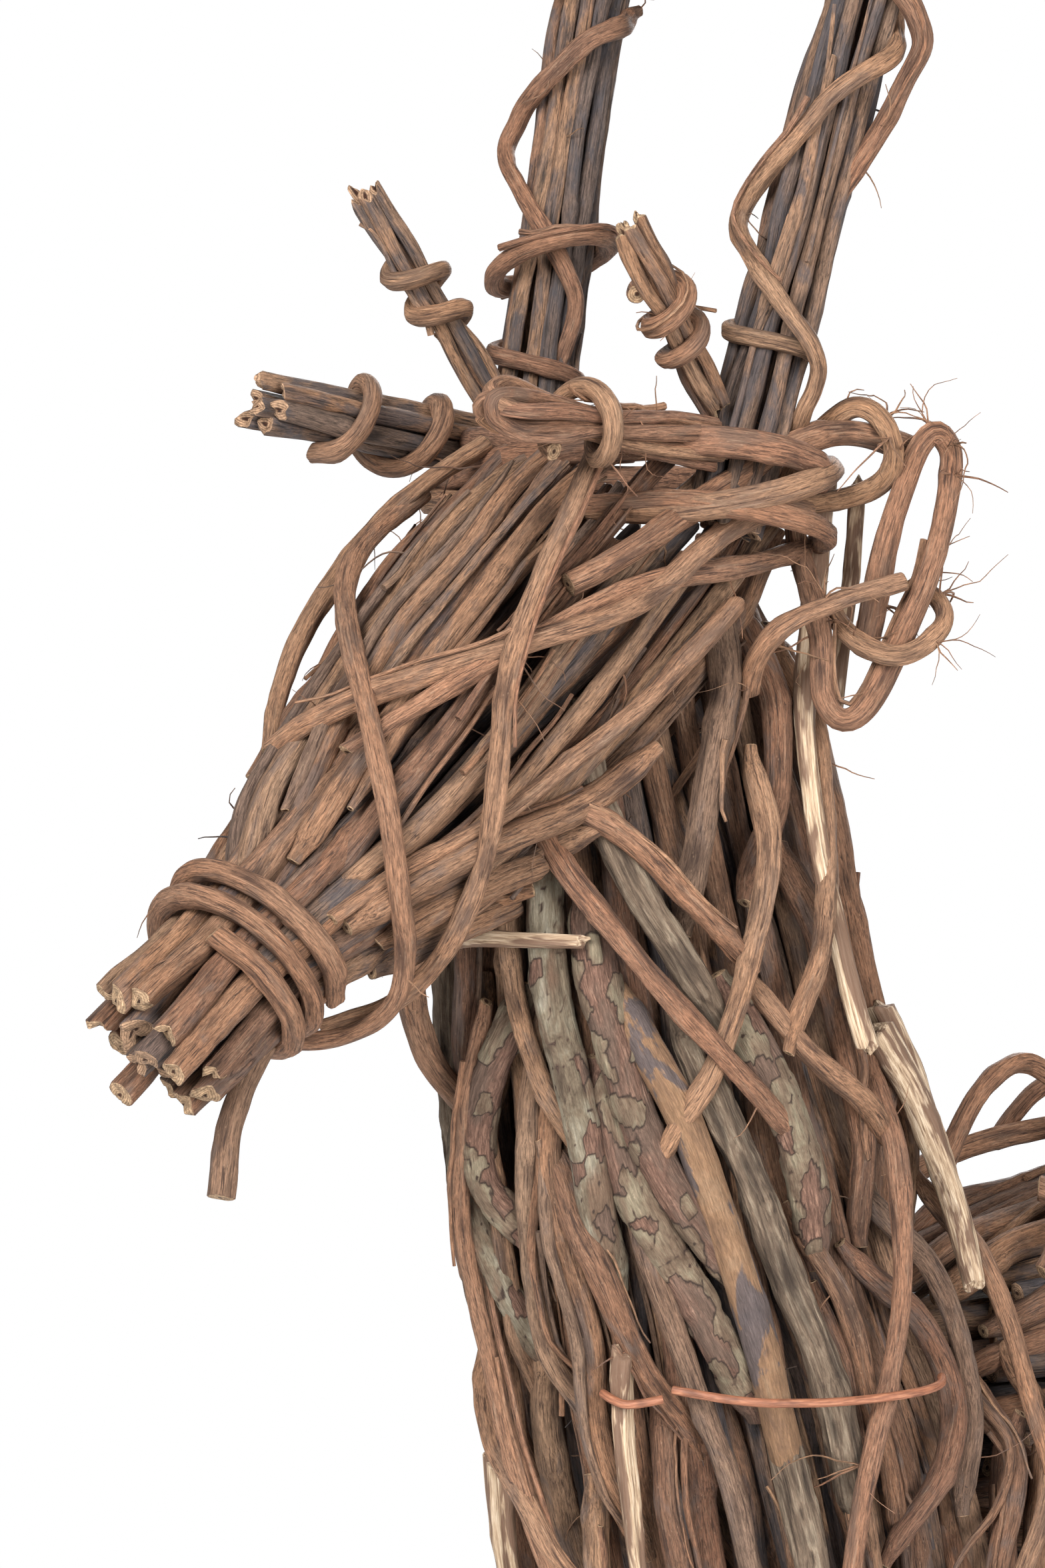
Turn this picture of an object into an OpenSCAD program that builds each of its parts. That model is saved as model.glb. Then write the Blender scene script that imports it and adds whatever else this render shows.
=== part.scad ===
// Standing reindeer figure built from vine, twigs and small branches over a welded steel rod frame.
// +Z is up, the animal faces -Y and its left side is +X. The origin is on the ground, below the middle.

/* [Stance] */
// Height of the belly line above the ground
belly_height = 425; // [400:5:450]
// Distance between a left and a right foot, centre to centre
foot_track = 124; // [110:2:136]
// Distance between a front and a hind foot, centre to centre
foot_base = 410; // [380:5:430]
// Diameter of one lashed leg bundle
leg_d = 54; // [50:1:58]

/* [Body] */
// Length of the body from the chest to the rump
body_length = 460; // [440:5:480]
// Width of the body
body_width = 176; // [166:2:186]
// Depth of the body from the back to the belly
body_depth = 226; // [216:2:236]

/* [Neck and head] */
// Width of the neck at the throat
neck_width = 134; // [126:2:142]
// Length of the head from the muzzle end to the crown
head_length = 264; // [254:2:272]
// Angle of the head below the horizontal
head_tilt = 39.5; // [36:0.5:43]
// Diameter of the bundle of sticks at the muzzle
muzzle_d = 46; // [44:1:50]

/* [Antlers] */
// Height of an antler above its root
antler_rise = 354; // [320:2:370]
// Distance between the two antler roots, centre to centre
antler_gap = 102; // [98:2:106]
// Backward lean of an antler
antler_lean = 15; // [12:1:17]
// Outward splay of an antler
antler_splay = 5; // [3:1:7]

/* [Sticks] */
// Diameter of an ordinary stick
stick_d = 10; // [9:0.5:11]
// Diameter of the vine used for lashings
vine_d = 8; // [7:0.5:9]
// Diameter of the thick branches with bark on them
branch_d = 14; // [12:0.5:15]
// Diameter of the steel rod in the legs and the spine
rod_d = 8; // [6:1:10]

/* [Hidden] */

LEFT = 1;
RIGHT = -1;
stick_r = stick_d / 2;
vine_r = vine_d / 2;
branch_r = branch_d / 2;
rod_r = rod_d / 2;
wire_r = 1.4;
hoop_r = 2.5;
fit_gap = 0.3;      // clearance left between neighbouring sticks
hidden_sides = 5;   // sides of a bent stick that others cover
tube_sides = 6;     // sides of an ordinary bent stick
vine_sides = 8;     // sides of a vine that shows
pole_fn = 24;

bark_brown = "#7a5a45";
vine_brown = "#8b6749";
dark_bark = "#4d403b";
lichen_bark = "#85806a";
split_wood = "#c9a87c";
steel_grey = "#6d7073";
copper = "#a85a32";

// ---------------------------------------------------------------- sections
// Each row is [share of the length, [y, z, half width, half depth]].

neck_rows = [
    [0.00, [-90, belly_height + 3, neck_width * 0.40, 68]],
    [0.10, [-98, 470, neck_width * 0.56, 102]],
    [0.22, [-114, 522, neck_width * 0.60, 104]],
    [0.38, [-136, 585, neck_width * 0.56, 93]],
    [0.54, [-157, 640, neck_width * 0.52, 84]],
    [0.68, [-170, 692, neck_width * 0.48, 77]],
    [0.82, [-181, 745, neck_width * 0.42, 73]],
    [0.92, [-188, 800, neck_width * 0.34, 68]],
    [1.00, [-186, 846, neck_width * 0.28, 54]]
];

body_front = -115;
body_half_w = body_width / 2;
body_half_h = body_depth / 2;
body_mid_z = belly_height + body_half_h;
body_rows = [
    [0.00, [body_front, body_mid_z + 6, body_half_w * 0.50, body_half_h * 0.50]],
    [0.14, [body_front + 0.14 * body_length, body_mid_z + 2, body_half_w * 0.84, body_half_h * 0.86]],
    [0.35, [body_front + 0.35 * body_length, body_mid_z, body_half_w * 0.98, body_half_h * 0.98]],
    [0.60, [body_front + 0.60 * body_length, body_mid_z + 2, body_half_w, body_half_h]],
    [0.80, [body_front + 0.80 * body_length, body_mid_z + 8, body_half_w * 0.96, body_half_h * 0.95]],
    [0.93, [body_front + 0.93 * body_length, body_mid_z + 15, body_half_w * 0.74, body_half_h * 0.74]],
    [1.00, [body_front + body_length, body_mid_z + 20, body_half_w * 0.42, body_half_h * 0.42]]
];

// The head's rows are [share of the length, [share along the axis, lift, half width, half height]].
muzzle_tip = [0, -371, 690];
muzzle_r = muzzle_d / 2;
head_rows = [
    [0.00, [0.00, 0, muzzle_r + 1, muzzle_r + 2]],
    [0.16, [0.16, 0, muzzle_r, muzzle_r]],
    [0.27, [0.27, -1, muzzle_r + 7, muzzle_r + 9]],
    [0.42, [0.42, -2, 40, 43]],
    [0.58, [0.58, 1, 49, 50]],
    [0.75, [0.75, 3, 54, 52]],
    [0.90, [0.90, 4, 56, 49]],
    [1.00, [1.00, 4, 53, 43]]
];
head_axis = [0, cos(head_tilt), sin(head_tilt)];
head_up = [0, -sin(head_tilt), cos(head_tilt)];

// ---------------------------------------------------------------- curves

function mix(a, b, t) = a + (b - a) * t;
function unit(v) = v / norm(v);
function clamp(x, low, high) = max(low, min(high, x));
function mirrored(points, side) = [for (p = points) [p.x * side, p.y, p.z]];

// A repeatable value between -1 and 1 for stick number i.
function scatter(i, k = 0) = let (s = 4375.85 * sin(i * 127.1 + k * 311.7 + 17)) 2 * (s - floor(s)) - 1;

// The value at x on a smooth curve through rows of [x, value].
function curve(x, rows) =
    let (
        last = len(rows) - 1,
        i = min(last - 1, max([0, for (j = [0 : last]) if (rows[j][0] <= x) j])),
        a = rows[max(i - 1, 0)],
        b = rows[i],
        c = rows[i + 1],
        d = rows[min(i + 2, last)],
        h = c[0] - b[0],
        t = clamp((x - b[0]) / h, 0, 1),
        leave = h * (c[1] - a[1]) / (c[0] - a[0]),
        arrive = h * (d[1] - b[1]) / (d[0] - b[0])
    )
    (2 * t^3 - 3 * t^2 + 1) * b[1] + (t^3 - 2 * t^2 + t) * leave
    + (3 * t^2 - 2 * t^3) * c[1] + (t^3 - t^2) * arrive;

// A smooth path of n points through a few key points.
function path(keys, n) =
    let (rows = [for (i = [0 : len(keys) - 1]) [i, keys[i]]])
    [for (k = [0 : n - 1]) curve(k * (len(keys) - 1) / (n - 1), rows)];

// A skin turns [share of the length, angle, depth] into a point. The angle is 0 at the neck's front,
// at the body's back and at the head's brow, and 90 on the animal's left. Depth is measured inwards.
neck_skin = function (q)
    let (c = curve(q[0], neck_rows))
    [(c[2] - q[2]) * sin(q[1]), c[0] - (c[3] - q[2]) * cos(q[1]), c[1]];

body_skin = function (q)
    let (c = curve(q[0], body_rows))
    [(c[2] - q[2]) * sin(q[1]), c[0], c[1] + (c[3] - q[2]) * cos(q[1])];

head_skin = function (q)
    let (c = curve(q[0], head_rows))
    muzzle_tip + head_axis * q[0] * head_length + [(c[2] - q[2]) * sin(q[1]), 0, 0]
    + head_up * (c[1] + (c[3] - q[2]) * cos(q[1]));

function on(skin, keys, n) = [for (q = path(keys, n)) skin(q)];

// ---------------------------------------------------------------- sticks
// A stick is [points of its centre line, radius at the start, radius at the end].

// The way a path turns, which keeps the rings of a tube from twisting.
function turning(p) =
    let (
        last = len(p) - 1,
        chord = p[last] - p[0],
        steps = [for (i = [0 : last - 1]) cross(p[i] - p[0], p[i + 1] - p[0])],
        ones = [for (s = steps) 1],
        area = ones * steps
    )
    norm(area) > 1 ? area : abs(unit(chord).z) < 0.9 ? cross(chord, [0, 0, 1]) : cross(chord, [0, 1, 0]);

function tube_points(stick, sides) =
    let (
        p = stick[0],
        last = len(p) - 1,
        about = turning(p),
        start_way = unit(p[1] - p[0]),
        end_way = unit(p[last] - p[last - 1]),
        hub = 0.12
    )
    [
        p[0] - start_way * stick[1] * hub,
        for (i = [0 : last])
            let (
                way = unit(p[min(i + 1, last)] - p[max(i - 1, 0)]),
                side = unit(cross(way, about)),
                up = cross(way, side),
                r = mix(stick[1], stick[2], i / last)
            )
            each [
                for (k = [0 : sides - 1])
                    p[i] + r * (side * cos(k * 360 / sides) + up * sin(k * 360 / sides))
            ],
        p[last] + end_way * stick[2] * hub
    ];

function tube_faces(rings, sides, first) =
    let (end_hub = first + 1 + rings * sides)
    [
        for (k = [0 : sides - 1]) [first, first + 1 + k, first + 1 + (k + 1) % sides],
        for (i = [0 : rings - 2], k = [0 : sides - 1])
            let (
                a = first + 1 + i * sides + k,
                b = first + 1 + i * sides + (k + 1) % sides
            )
            each [[a, a + sides, b + sides], [a, b + sides, b]],
        for (k = [0 : sides - 1])
            [end_hub, end_hub - sides + (k + 1) % sides, end_hub - sides + k]
    ];

// A group of separate bent sticks.
module sticks(list, sides = tube_sides) {
    sizes = [for (s = list) len(s[0]) * sides + 2];
    starts = [for (i = 0, at = 0; i < len(list); at = at + sizes[i], i = i + 1) at];
    polyhedron(
        points = [for (s = list) each tube_points(s, sides)],
        faces = [for (i = [0 : len(list) - 1]) each tube_faces(len(list[i][0]), sides, starts[i])]
    );
}

// One straight stick from a to b.
module pole(a, b, r1, r2) {
    v = b - a;
    translate(a)
        rotate([0, acos(v.z / norm(v)), atan2(v.y, v.x)])
            cylinder(h = norm(v), r1 = r1, r2 = r2, $fn = pole_fn);
}

// A bundle of tapering straight sticks from a to b, an outer ring and inner sticks that fill it.
// Each entry is [start, end, radius at the start, radius at the end].
function bundle(a, b, wide_a, wide_b, inner, outer, seed, ragged = 6) =
    let (
        way = unit(b - a),
        side = unit(cross(way, abs(way.y) < 0.9 ? [0, 1, 0] : [1, 0, 0])),
        up = cross(way, side),
        s_outer = sin(180 / outer),
        r_a = wide_a * s_outer / (1 + s_outer) - fit_gap / 2,
        r_b = wide_b * s_outer / (1 + s_outer) - fit_gap / 2,
        ring_a = wide_a - r_a,
        ring_b = wide_b - r_b,
        in_a = inner == 1 ? 0 : ring_a - 2 * r_a - fit_gap,
        in_b = inner == 1 ? 0 : ring_b - 2 * r_b - fit_gap,
        in_r_a = inner == 1 ? ring_a - r_a - fit_gap : min(r_a, in_a * sin(180 / inner) - fit_gap / 2),
        in_r_b = inner == 1 ? ring_b - r_b - fit_gap : min(r_b, in_b * sin(180 / inner) - fit_gap / 2)
    )
    [
        for (i = [0 : inner + outer - 1])
            let (
                is_inner = i < inner,
                angle = is_inner ? i * 360 / inner + 30 : (i - inner) * 360 / outer,
                spot = side * cos(angle) + up * sin(angle),
                cut_back = way * ragged * (1 + scatter(i, seed)) / 2
            )
            [
                a + spot * (is_inner ? in_a : ring_a),
                b + spot * (is_inner ? in_b : ring_b) - cut_back,
                is_inner ? in_r_a : r_a,
                is_inner ? in_r_b : r_b
            ]
    ];

module poles(list) {
    for (p = list) pole(p[0], p[1], p[2], p[3]);
}

// Sticks side by side that follow a skin from one end to the other, leaning by twist degrees.
// gap_at lists [low, high] angles where no stick runs.
function layer(skin, count, ends, twist, depth, r, seed, n = 5, gap_at = []) = [
    for (i = [0 : count - 1])
        let (
            angle = (i + 0.22 * scatter(i, seed)) * 360 / count,
            from = ends[0] + 0.05 * scatter(i, seed + 1),
            to = ends[1] + 0.05 * scatter(i, seed + 2),
            bow = 2 * scatter(i, seed + 3),
            own_r = r * (1 + 0.18 * scatter(i, seed + 4)),
            in_gap = [for (g = gap_at) if (angle > g[0] && angle < g[1]) 1]
        )
        if (len(in_gap) == 0)
            [
                on(skin, [[from, angle, depth], [mix(from, to, 0.5), angle + twist / 2 + bow, depth - 1],
                    [to, angle + twist, depth]], n),
                own_r,
                own_r * 0.85
            ]
];

// A vine wound round a straight bundle that runs from a to b, whose own radius goes from r1 to r2.
function winding(a, b, r1, r2, turns, r, start = 0, per_turn = 10) =
    let (
        way = unit(b - a),
        side = unit(cross(way, abs(way.y) < 0.9 ? [0, 1, 0] : [1, 0, 0])),
        up = cross(way, side),
        last = ceil(abs(turns) * per_turn)
    )
    [
        [
            for (i = [0 : last])
                let (t = i / last, angle = start + 360 * turns * t, reach = mix(r1, r2, t) + r + fit_gap)
                mix(a, b, t) + reach * (side * cos(angle) + up * sin(angle))
        ],
        r,
        r * 0.9
    ];

// ---------------------------------------------------------------- steel frame

spine_z = body_mid_z + 40;
spine_front = [0, -60, spine_z];
spine_back = [0, body_front + body_length - 55, spine_z];
neck_foot = [0, -105, 520];
neck_head = [0, -190, 790];
head_nose = muzzle_tip + head_axis * head_length * 0.30;

module frame_spine() {
    color(steel_grey) {
        pole(spine_front, spine_back, rod_r, rod_r);
        pole(mix(neck_foot, neck_head, 0), neck_head, rod_r, rod_r);
        pole(mix(neck_foot, neck_head, 0.32), spine_front, rod_r, rod_r);
        translate(mix(neck_foot, neck_head, 0.32)) sphere(r = rod_r * 1.3, $fn = pole_fn);
        translate(spine_front) sphere(r = rod_r * 1.3, $fn = pole_fn);
    }
}

// A leg is [side, foot centre, top centre of its stick bundle, where its rod is welded].
foot_front_y = -118;
foot_hind_y = foot_front_y + foot_base;
leg_top_z = belly_height + 18;
leg_top_x = 46;
function leg(side, hind) =
    let (
        foot_y = hind ? foot_hind_y : foot_front_y,
        top_y = hind ? foot_hind_y - 22 : foot_front_y + 18
    )
    [
        side,
        [side * foot_track / 2, foot_y, 0],
        [side * leg_top_x, top_y, leg_top_z],
        [side * (rod_r + 1), top_y + (hind ? -12 : 0), spine_z - rod_r * 2]
    ];
legs = [for (hind = [false, true], side = [LEFT, RIGHT]) leg(side, hind)];

module frame_leg_rods() {
    rod_foot_z = 20;
    color(steel_grey)
        for (l = legs) {
            pole(mix(l[1], l[2], rod_foot_z / leg_top_z), l[2], rod_r - 1, rod_r - 1);
            pole(l[2], l[3], rod_r - 1, rod_r - 1);
            translate(l[2]) sphere(r = rod_r, $fn = pole_fn);
        }
}

hoop_sides = 4;
function hoop(skin, u, depth) = [on(skin, [for (a = [0 : 29 : 348]) [u, a, depth]], 13), hoop_r, hoop_r];

module frame_body_hoops() {
    color(steel_grey) sticks([for (u = [0.2, 0.4, 0.6, 0.78, 0.92]) hoop(body_skin, u, 36)], hoop_sides);
}

module frame_neck_hoops() {
    color(steel_grey) sticks([for (u = [0.3, 0.5, 0.7, 0.84]) hoop(neck_skin, u, 37)], hoop_sides);
}

// ---------------------------------------------------------------- core

core_stick_d = 13;
core_pitch = 15.5;

// Straight brushwood that fills the body inside its hoops, round the spine.
module body_core_sticks() {
    reach = [38, 66];
    color(dark_bark)
        for (row = [-5 : 5], column = [-3 : 3]) {
            x = (column + (row % 2 == 0 ? 0 : 0.5)) * core_pitch;
            z = row * core_pitch * sin(60);
            from_spine = norm([x, body_mid_z + z - spine_z]);
            i = row * 7 + column;
            if ((x / reach.x)^2 + (z / reach.y)^2 < 1 && from_spine > rod_r + core_stick_d / 2 + fit_gap)
                pole(
                    [x, -78 + 12 * scatter(i, 51), body_mid_z + z],
                    [x, 236 + 12 * scatter(i, 52), body_mid_z + z],
                    core_stick_d / 2, core_stick_d / 2 * 0.9
                );
        }
}

// Straight brushwood that fills the neck inside its hoops, round the neck post.
module neck_core_sticks() {
    low = mix(neck_foot, neck_head, 0.40);
    along = unit(neck_head - neck_foot);
    forward = unit(cross([1, 0, 0], along));
    color(dark_bark)
        for (row = [-2 : 2], column = [-1 : 1]) {
            x = (column + (row % 2 == 0 ? 0 : 0.5)) * core_pitch;
            if (norm([x, row]) > 0)
                pole(
                    low + [x, 0, 0] + forward * row * core_pitch * sin(60),
                    neck_head + [x, 0, 0] + forward * row * core_pitch * sin(60) - along * 14,
                    core_stick_d / 2, core_stick_d / 2 * 0.8
                );
        }
}

// ---------------------------------------------------------------- legs

leg_inner_count = 5;
leg_outer_count = 11;
foot_share = 0.78;   // the foot's width as a share of the top's
leg_ragged = 26;
leg_fn = 32;
foot_peg_d = 4.8;    // an upright peg closes the hole in the middle of the foot, below the steel rod
foot_peg_h = 12;

// A leaning stick whose ends are both sawn level.
module level_pole(foot, top, r1, r2) {
    run = top - foot;
    multmatrix([[1, 0, run.x / run.z, foot.x], [0, 1, run.y / run.z, foot.y], [0, 0, 1, 0]])
        cylinder(h = run.z, r1 = r1, r2 = r2, $fn = leg_fn);
}

module leg_sticks(l) {
    foot_r = leg_d * foot_share / 2;
    color(bark_brown)
        for (p = bundle(l[1], l[2], foot_r, leg_d / 2, leg_inner_count, leg_outer_count, l[0], leg_ragged))
            level_pole([p[0].x, p[0].y, 0], p[1], p[2], p[3]);
    color(bark_brown) translate(l[1]) cylinder(h = foot_peg_h, d = foot_peg_d, $fn = pole_fn);
}

// Each lashing is a few turns of vine drawn tight round the leg.
lash_heights = [26, 188, 318];
module leg_lashings(l) {
    lash_r = vine_r * 0.85;
    way = unit(l[2] - l[1]);
    color(vine_brown)
        for (i = [0 : len(lash_heights) - 1]) {
            over_cover = i == 2 ? 11 : 0;
            for (turn = [0 : 2]) {
                z = lash_heights[i] + turn * (2 * lash_r + fit_gap);
                share = z / leg_top_z;
                around = leg_d / 2 * mix(foot_share, 1, share) + over_cover;
                translate(mix(l[1], l[2], share))
                    rotate([0, acos(way.z), atan2(way.y, way.x)])
                        rotate_extrude($fn = 48) translate([around + lash_r + fit_gap,
                            0]) circle(r = lash_r, $fn = 16);
            }
        }
}

// Bent sticks that come off the body's side and run down over the top of a leg.
function limb_cover(l, angles, body_u, reach_z) = [
    for (i = [0 : len(angles) - 1])
        let (
            side = l[0],
            a = angles[i],
            leg_at = mix(l[1], l[2], (reach_z + 14 * scatter(i, 3)) / leg_top_z),
            knee_at = mix(l[1], l[2], 0.88),
            out = [side * cos(a), sin(a), 0],
            cover_r = leg_d / 2 + stick_r + 1,
            start = body_skin([body_u + 0.10 * sin(a),
                90 * side - side * (20 + 6 * scatter(i, 5)), -stick_r - 1]),
            side_at = body_skin([body_u + 0.07 * sin(a), 90 * side + side * 12, -stick_r - 1])
        )
        [
            path([start, side_at, knee_at + out * (cover_r + 5), leg_at + out * cover_r], 6),
            stick_r * 0.95,
            stick_r * 0.8
        ]
];

cover_angles = [-62, -36, -12, 12, 36, 62];

module shoulder_sticks(l) {
    color(bark_brown) sticks(limb_cover(l, cover_angles, 0.02, 318));
}

module haunch_sticks(l) {
    color(bark_brown) sticks(limb_cover(l, cover_angles, 0.84, 318));
}

// ---------------------------------------------------------------- body

leg_room = [[128, 162], [198, 232]];   // angles where the legs pass into the body

module body_inner_sticks() {
    color(dark_bark)
        sticks(concat(
            layer(body_skin, 16, [0.14, 0.92], 14, 26, stick_r, 11, 6, leg_room),
            layer(body_skin, 16, [0.20, 0.72], 4, 26, stick_r, 12, 4, [[-10, 128], [162, 198], [232, 370]])
        ), hidden_sides);
}

module body_outer_sticks() {
    color(bark_brown)
        sticks(concat(
            layer(body_skin, 26, [0.10, 0.95], -16, 13, stick_r, 21, 5, [[120, 240]]),
            layer(body_skin, 26, [0.22, 0.70], -6, 13, stick_r, 22, 5, [[-10, 120], [240, 370]])
        ));
}

// Vines that run slantwise over the body, each [start, middle, end] on the skin.
module body_cross_vines() {
    keys = [
        [[0.16, 20, 1], [0.34, 62, 0], [0.52, 96, 1], [0.66, 118, 2]],
        [[0.30, -14, 1], [0.46, 40, 0], [0.58, 78, 0], [0.70, 108, 2]],
        [[0.90, 12, 2], [0.74, 54, 0], [0.52, 80, -7], [0.26, 106, -4]],
        [[0.44, 8, 1], [0.62, 34, 0], [0.80, 66, 0], [0.90, 100, 3]],
        [[0.22, 70, 1], [0.40, 88, -8], [0.60, 60, -8], [0.82, 40, -7]],
        [[0.12, 40, 2], [0.28, 10, 0], [0.48, -22, 0], [0.62, -60, 1]]
    ];
    color(vine_brown)
        sticks([
            for (side = [LEFT, RIGHT], i = [0 : len(keys) - 1])
                let (wander = 6 * scatter(i + 10 * side, 7))
                [
                    on(body_skin, [for (q = keys[i]) [q[0] + 0.01 * side,
                        side * (q[1] + wander) + 4 * side - 4, q[2] - vine_r - (side > 0 ? 0 : 1)]], 7),
                    vine_r * 0.95,
                    vine_r * 0.8
                ]
        ]);
}

// Springy ends of vine that stand up in loose curls along the back.
module back_vine_curls() {
    curls = [[-20, 8, 26, 0], [36, -10, 22, 40], [96, 12, 24, -30], [160, -6, 20, 20], [226, 8, 22, -20]];
    color(vine_brown)
        sticks([
            for (c = curls)
                let (base = [c[1], c[0], body_mid_z + body_half_h - 2], way = [sin(c[3]), cos(c[3]), 0])
                [
                    path([
                        base - way * 36 - [0, 0, 6],
                        base - way * 21 + [0, 0, c[2] * 0.6],
                        base + [0, 0, c[2]],
                        base + way * 21 + [0, 0, c[2] * 0.6],
                        base + way * 36 - [0, 0, 6]
                    ], 9),
                    vine_r * 0.9,
                    vine_r * 0.7
                ]
        ]);
}

module rump_vines() {
    loops = [[0.955, 6], [0.985, 3], [1.0, -2]];
    color(vine_brown)
        sticks(concat(
            [for (i = [0 : len(loops) - 1])
                [on(body_skin, [for (a = [0 : 28 : 336]) [loops[i][0] + 0.008 * sin(a),
                    a + 50 * i, loops[i][1]]], 13), vine_r, vine_r * 0.85]],
            [for (i = [0 : 4])
                let (x = -26 + 13 * i)
                [
                    path([
                        [x * 1.5, body_front + body_length - 18, body_mid_z + 62 - abs(x) * 0.6],
                        [x, body_front + body_length + 9, body_mid_z + 40],
                        [x * 0.9, body_front + body_length + 15, body_mid_z + 10],
                        [x * 1.5, body_front + body_length - 8, body_mid_z - 30 + abs(x) * 0.6]
                    ], 6),
                    vine_r, vine_r * 0.8
                ]]
        ));
}

tail_root = [0, body_front + body_length + 14, body_mid_z + 44];
tail_tip = tail_root + [0, 17, 66];
tail_r = 12;

module tail_sticks() {
    color(bark_brown)
        poles(bundle(tail_root, tail_tip, tail_r, tail_r + 4, 1, 6, 9, 14));
}

module tail_binding() {
    color(vine_brown)
        sticks([winding(mix(tail_root, tail_tip, 0.18), mix(tail_root, tail_tip, 0.55),
            tail_r + 1, tail_r + 2.5, 2.4, vine_r * 0.7, 0, 8)]);
}

// ---------------------------------------------------------------- neck

// Below this share of the neck's length its back is open, because the body joins it there.
neck_open = [[112, 248]];

module neck_inner_sticks() {
    color(dark_bark)
        sticks(concat(
            layer(neck_skin, 16, [0.12, 0.90], 6, 29, stick_r, 31, 6, neck_open),
            layer(neck_skin, 16, [0.52, 0.90], 4, 29, stick_r, 32, 4, [[-10, 112], [248, 370]])
        ));
}

module neck_middle_sticks() {
    color(bark_brown)
        sticks(concat(
            layer(neck_skin, 22, [0.06, 0.93], 18, 17.5, stick_r, 41, 5, neck_open),
            layer(neck_skin, 22, [0.56, 0.93], 10, 17.5, stick_r, 42, 4, [[-10, 112], [248, 370]])
        ));
}

// The outer sticks are laid by hand, each [points on the skin, radius]. The sheltered right side
// repeats the left with its own offsets.
outer_keys = [
    [[[0.66, 12, 5], [0.58, 8, 5], [0.50, 6, 5], [0.42, 5, 5], [0.36, 9, 5]], 3.7],
    [[[0.60, 13, 6], [0.50, 16, 5], [0.41, 18, 5], [0.34, 16, 5], [0.27, 19, 6]], 4.6],
    [[[0.55, 17, 3], [0.49, 25, 3], [0.41, 31, 4], [0.35, 35, 5]], 4.5],
    [[[0.52, 37, 5], [0.44, 40, 5], [0.35, 43, 5], [0.28, 45, 5], [0.20, 46, 6]], 4.0],
    [[[0.50, 79, 5], [0.44, 81, 5], [0.38, 80, 5], [0.28, 80, 6]], 3.8],
    [[[0.52, 106, 4], [0.45, 114, 4], [0.38, 111, 4], [0.30, 102, 5]], 4.0],
    [[[0.47, 94, 5], [0.42, 101, 4], [0.36, 101, 4], [0.31, 93, 4], [0.26, 80, 4]], 4.0],
    [[[0.34, 118, 4], [0.29, 112, 4], [0.23, 98, 4], [0.14, 92, 5]], 4.2],
    [[[0.30, 128, 4], [0.24, 124, 4], [0.18, 112, 5]], 4.0],
    [[[0.32, 30, 6], [0.24, 31, 6], [0.10, 30, 6]], 4.4],
    [[[0.26, 9, 6], [0.18, 10, 6], [0.07, 12, 6]], 4.6],
    [[[0.26, 70, 6], [0.17, 66, 6], [0.06, 60, 6]], 4.6],
    [[[0.80, 12, 4], [0.74, 12, 4], [0.68, 13, 4], [0.60, 22, 2]], 3.6],
    [[[0.94, 96, 0], [0.91, 89, 1], [0.86, 78, 2], [0.80, 68, 4]], 5.6],
    [[[0.94, 112, 1], [0.91, 109, 2], [0.87, 106, 3], [0.82, 94, 4]], 4.8],
    [[[0.93, 138, 3], [0.84, 134, 4], [0.72, 130, 5], [0.60, 124, 6]], 4.8],
    [[[0.92, 160, 4], [0.78, 156, 5], [0.66, 152, 6], [0.55, 148, 6]], 4.6],
    [[[0.94, 178, 4], [0.80, 176, 5], [0.68, 174, 6], [0.56, 172, 6]], 4.8],
    [[[0.80, 108, 4], [0.72, 106, 5], [0.62, 106, 6], [0.54, 100, 6]], 4.4]
];

module neck_outer_sticks() {
    color(bark_brown)
        sticks([
            for (side = [LEFT, RIGHT], i = [0 : len(outer_keys) - 1])
                let (
                    shift = side > 0 ? [0, 0, 0] : [0.02, 2, 1],
                    keys = [for (q = outer_keys[i][0]) [q[0] + shift.x,
                        side * (q[1] + shift.y), q[2] + shift.z]],
                    r = outer_keys[i][1]
                )
                if (side > 0 || i % 4 != 2) [on(neck_skin, keys, 5), r, r * 0.85]
        ]);
}

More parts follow.
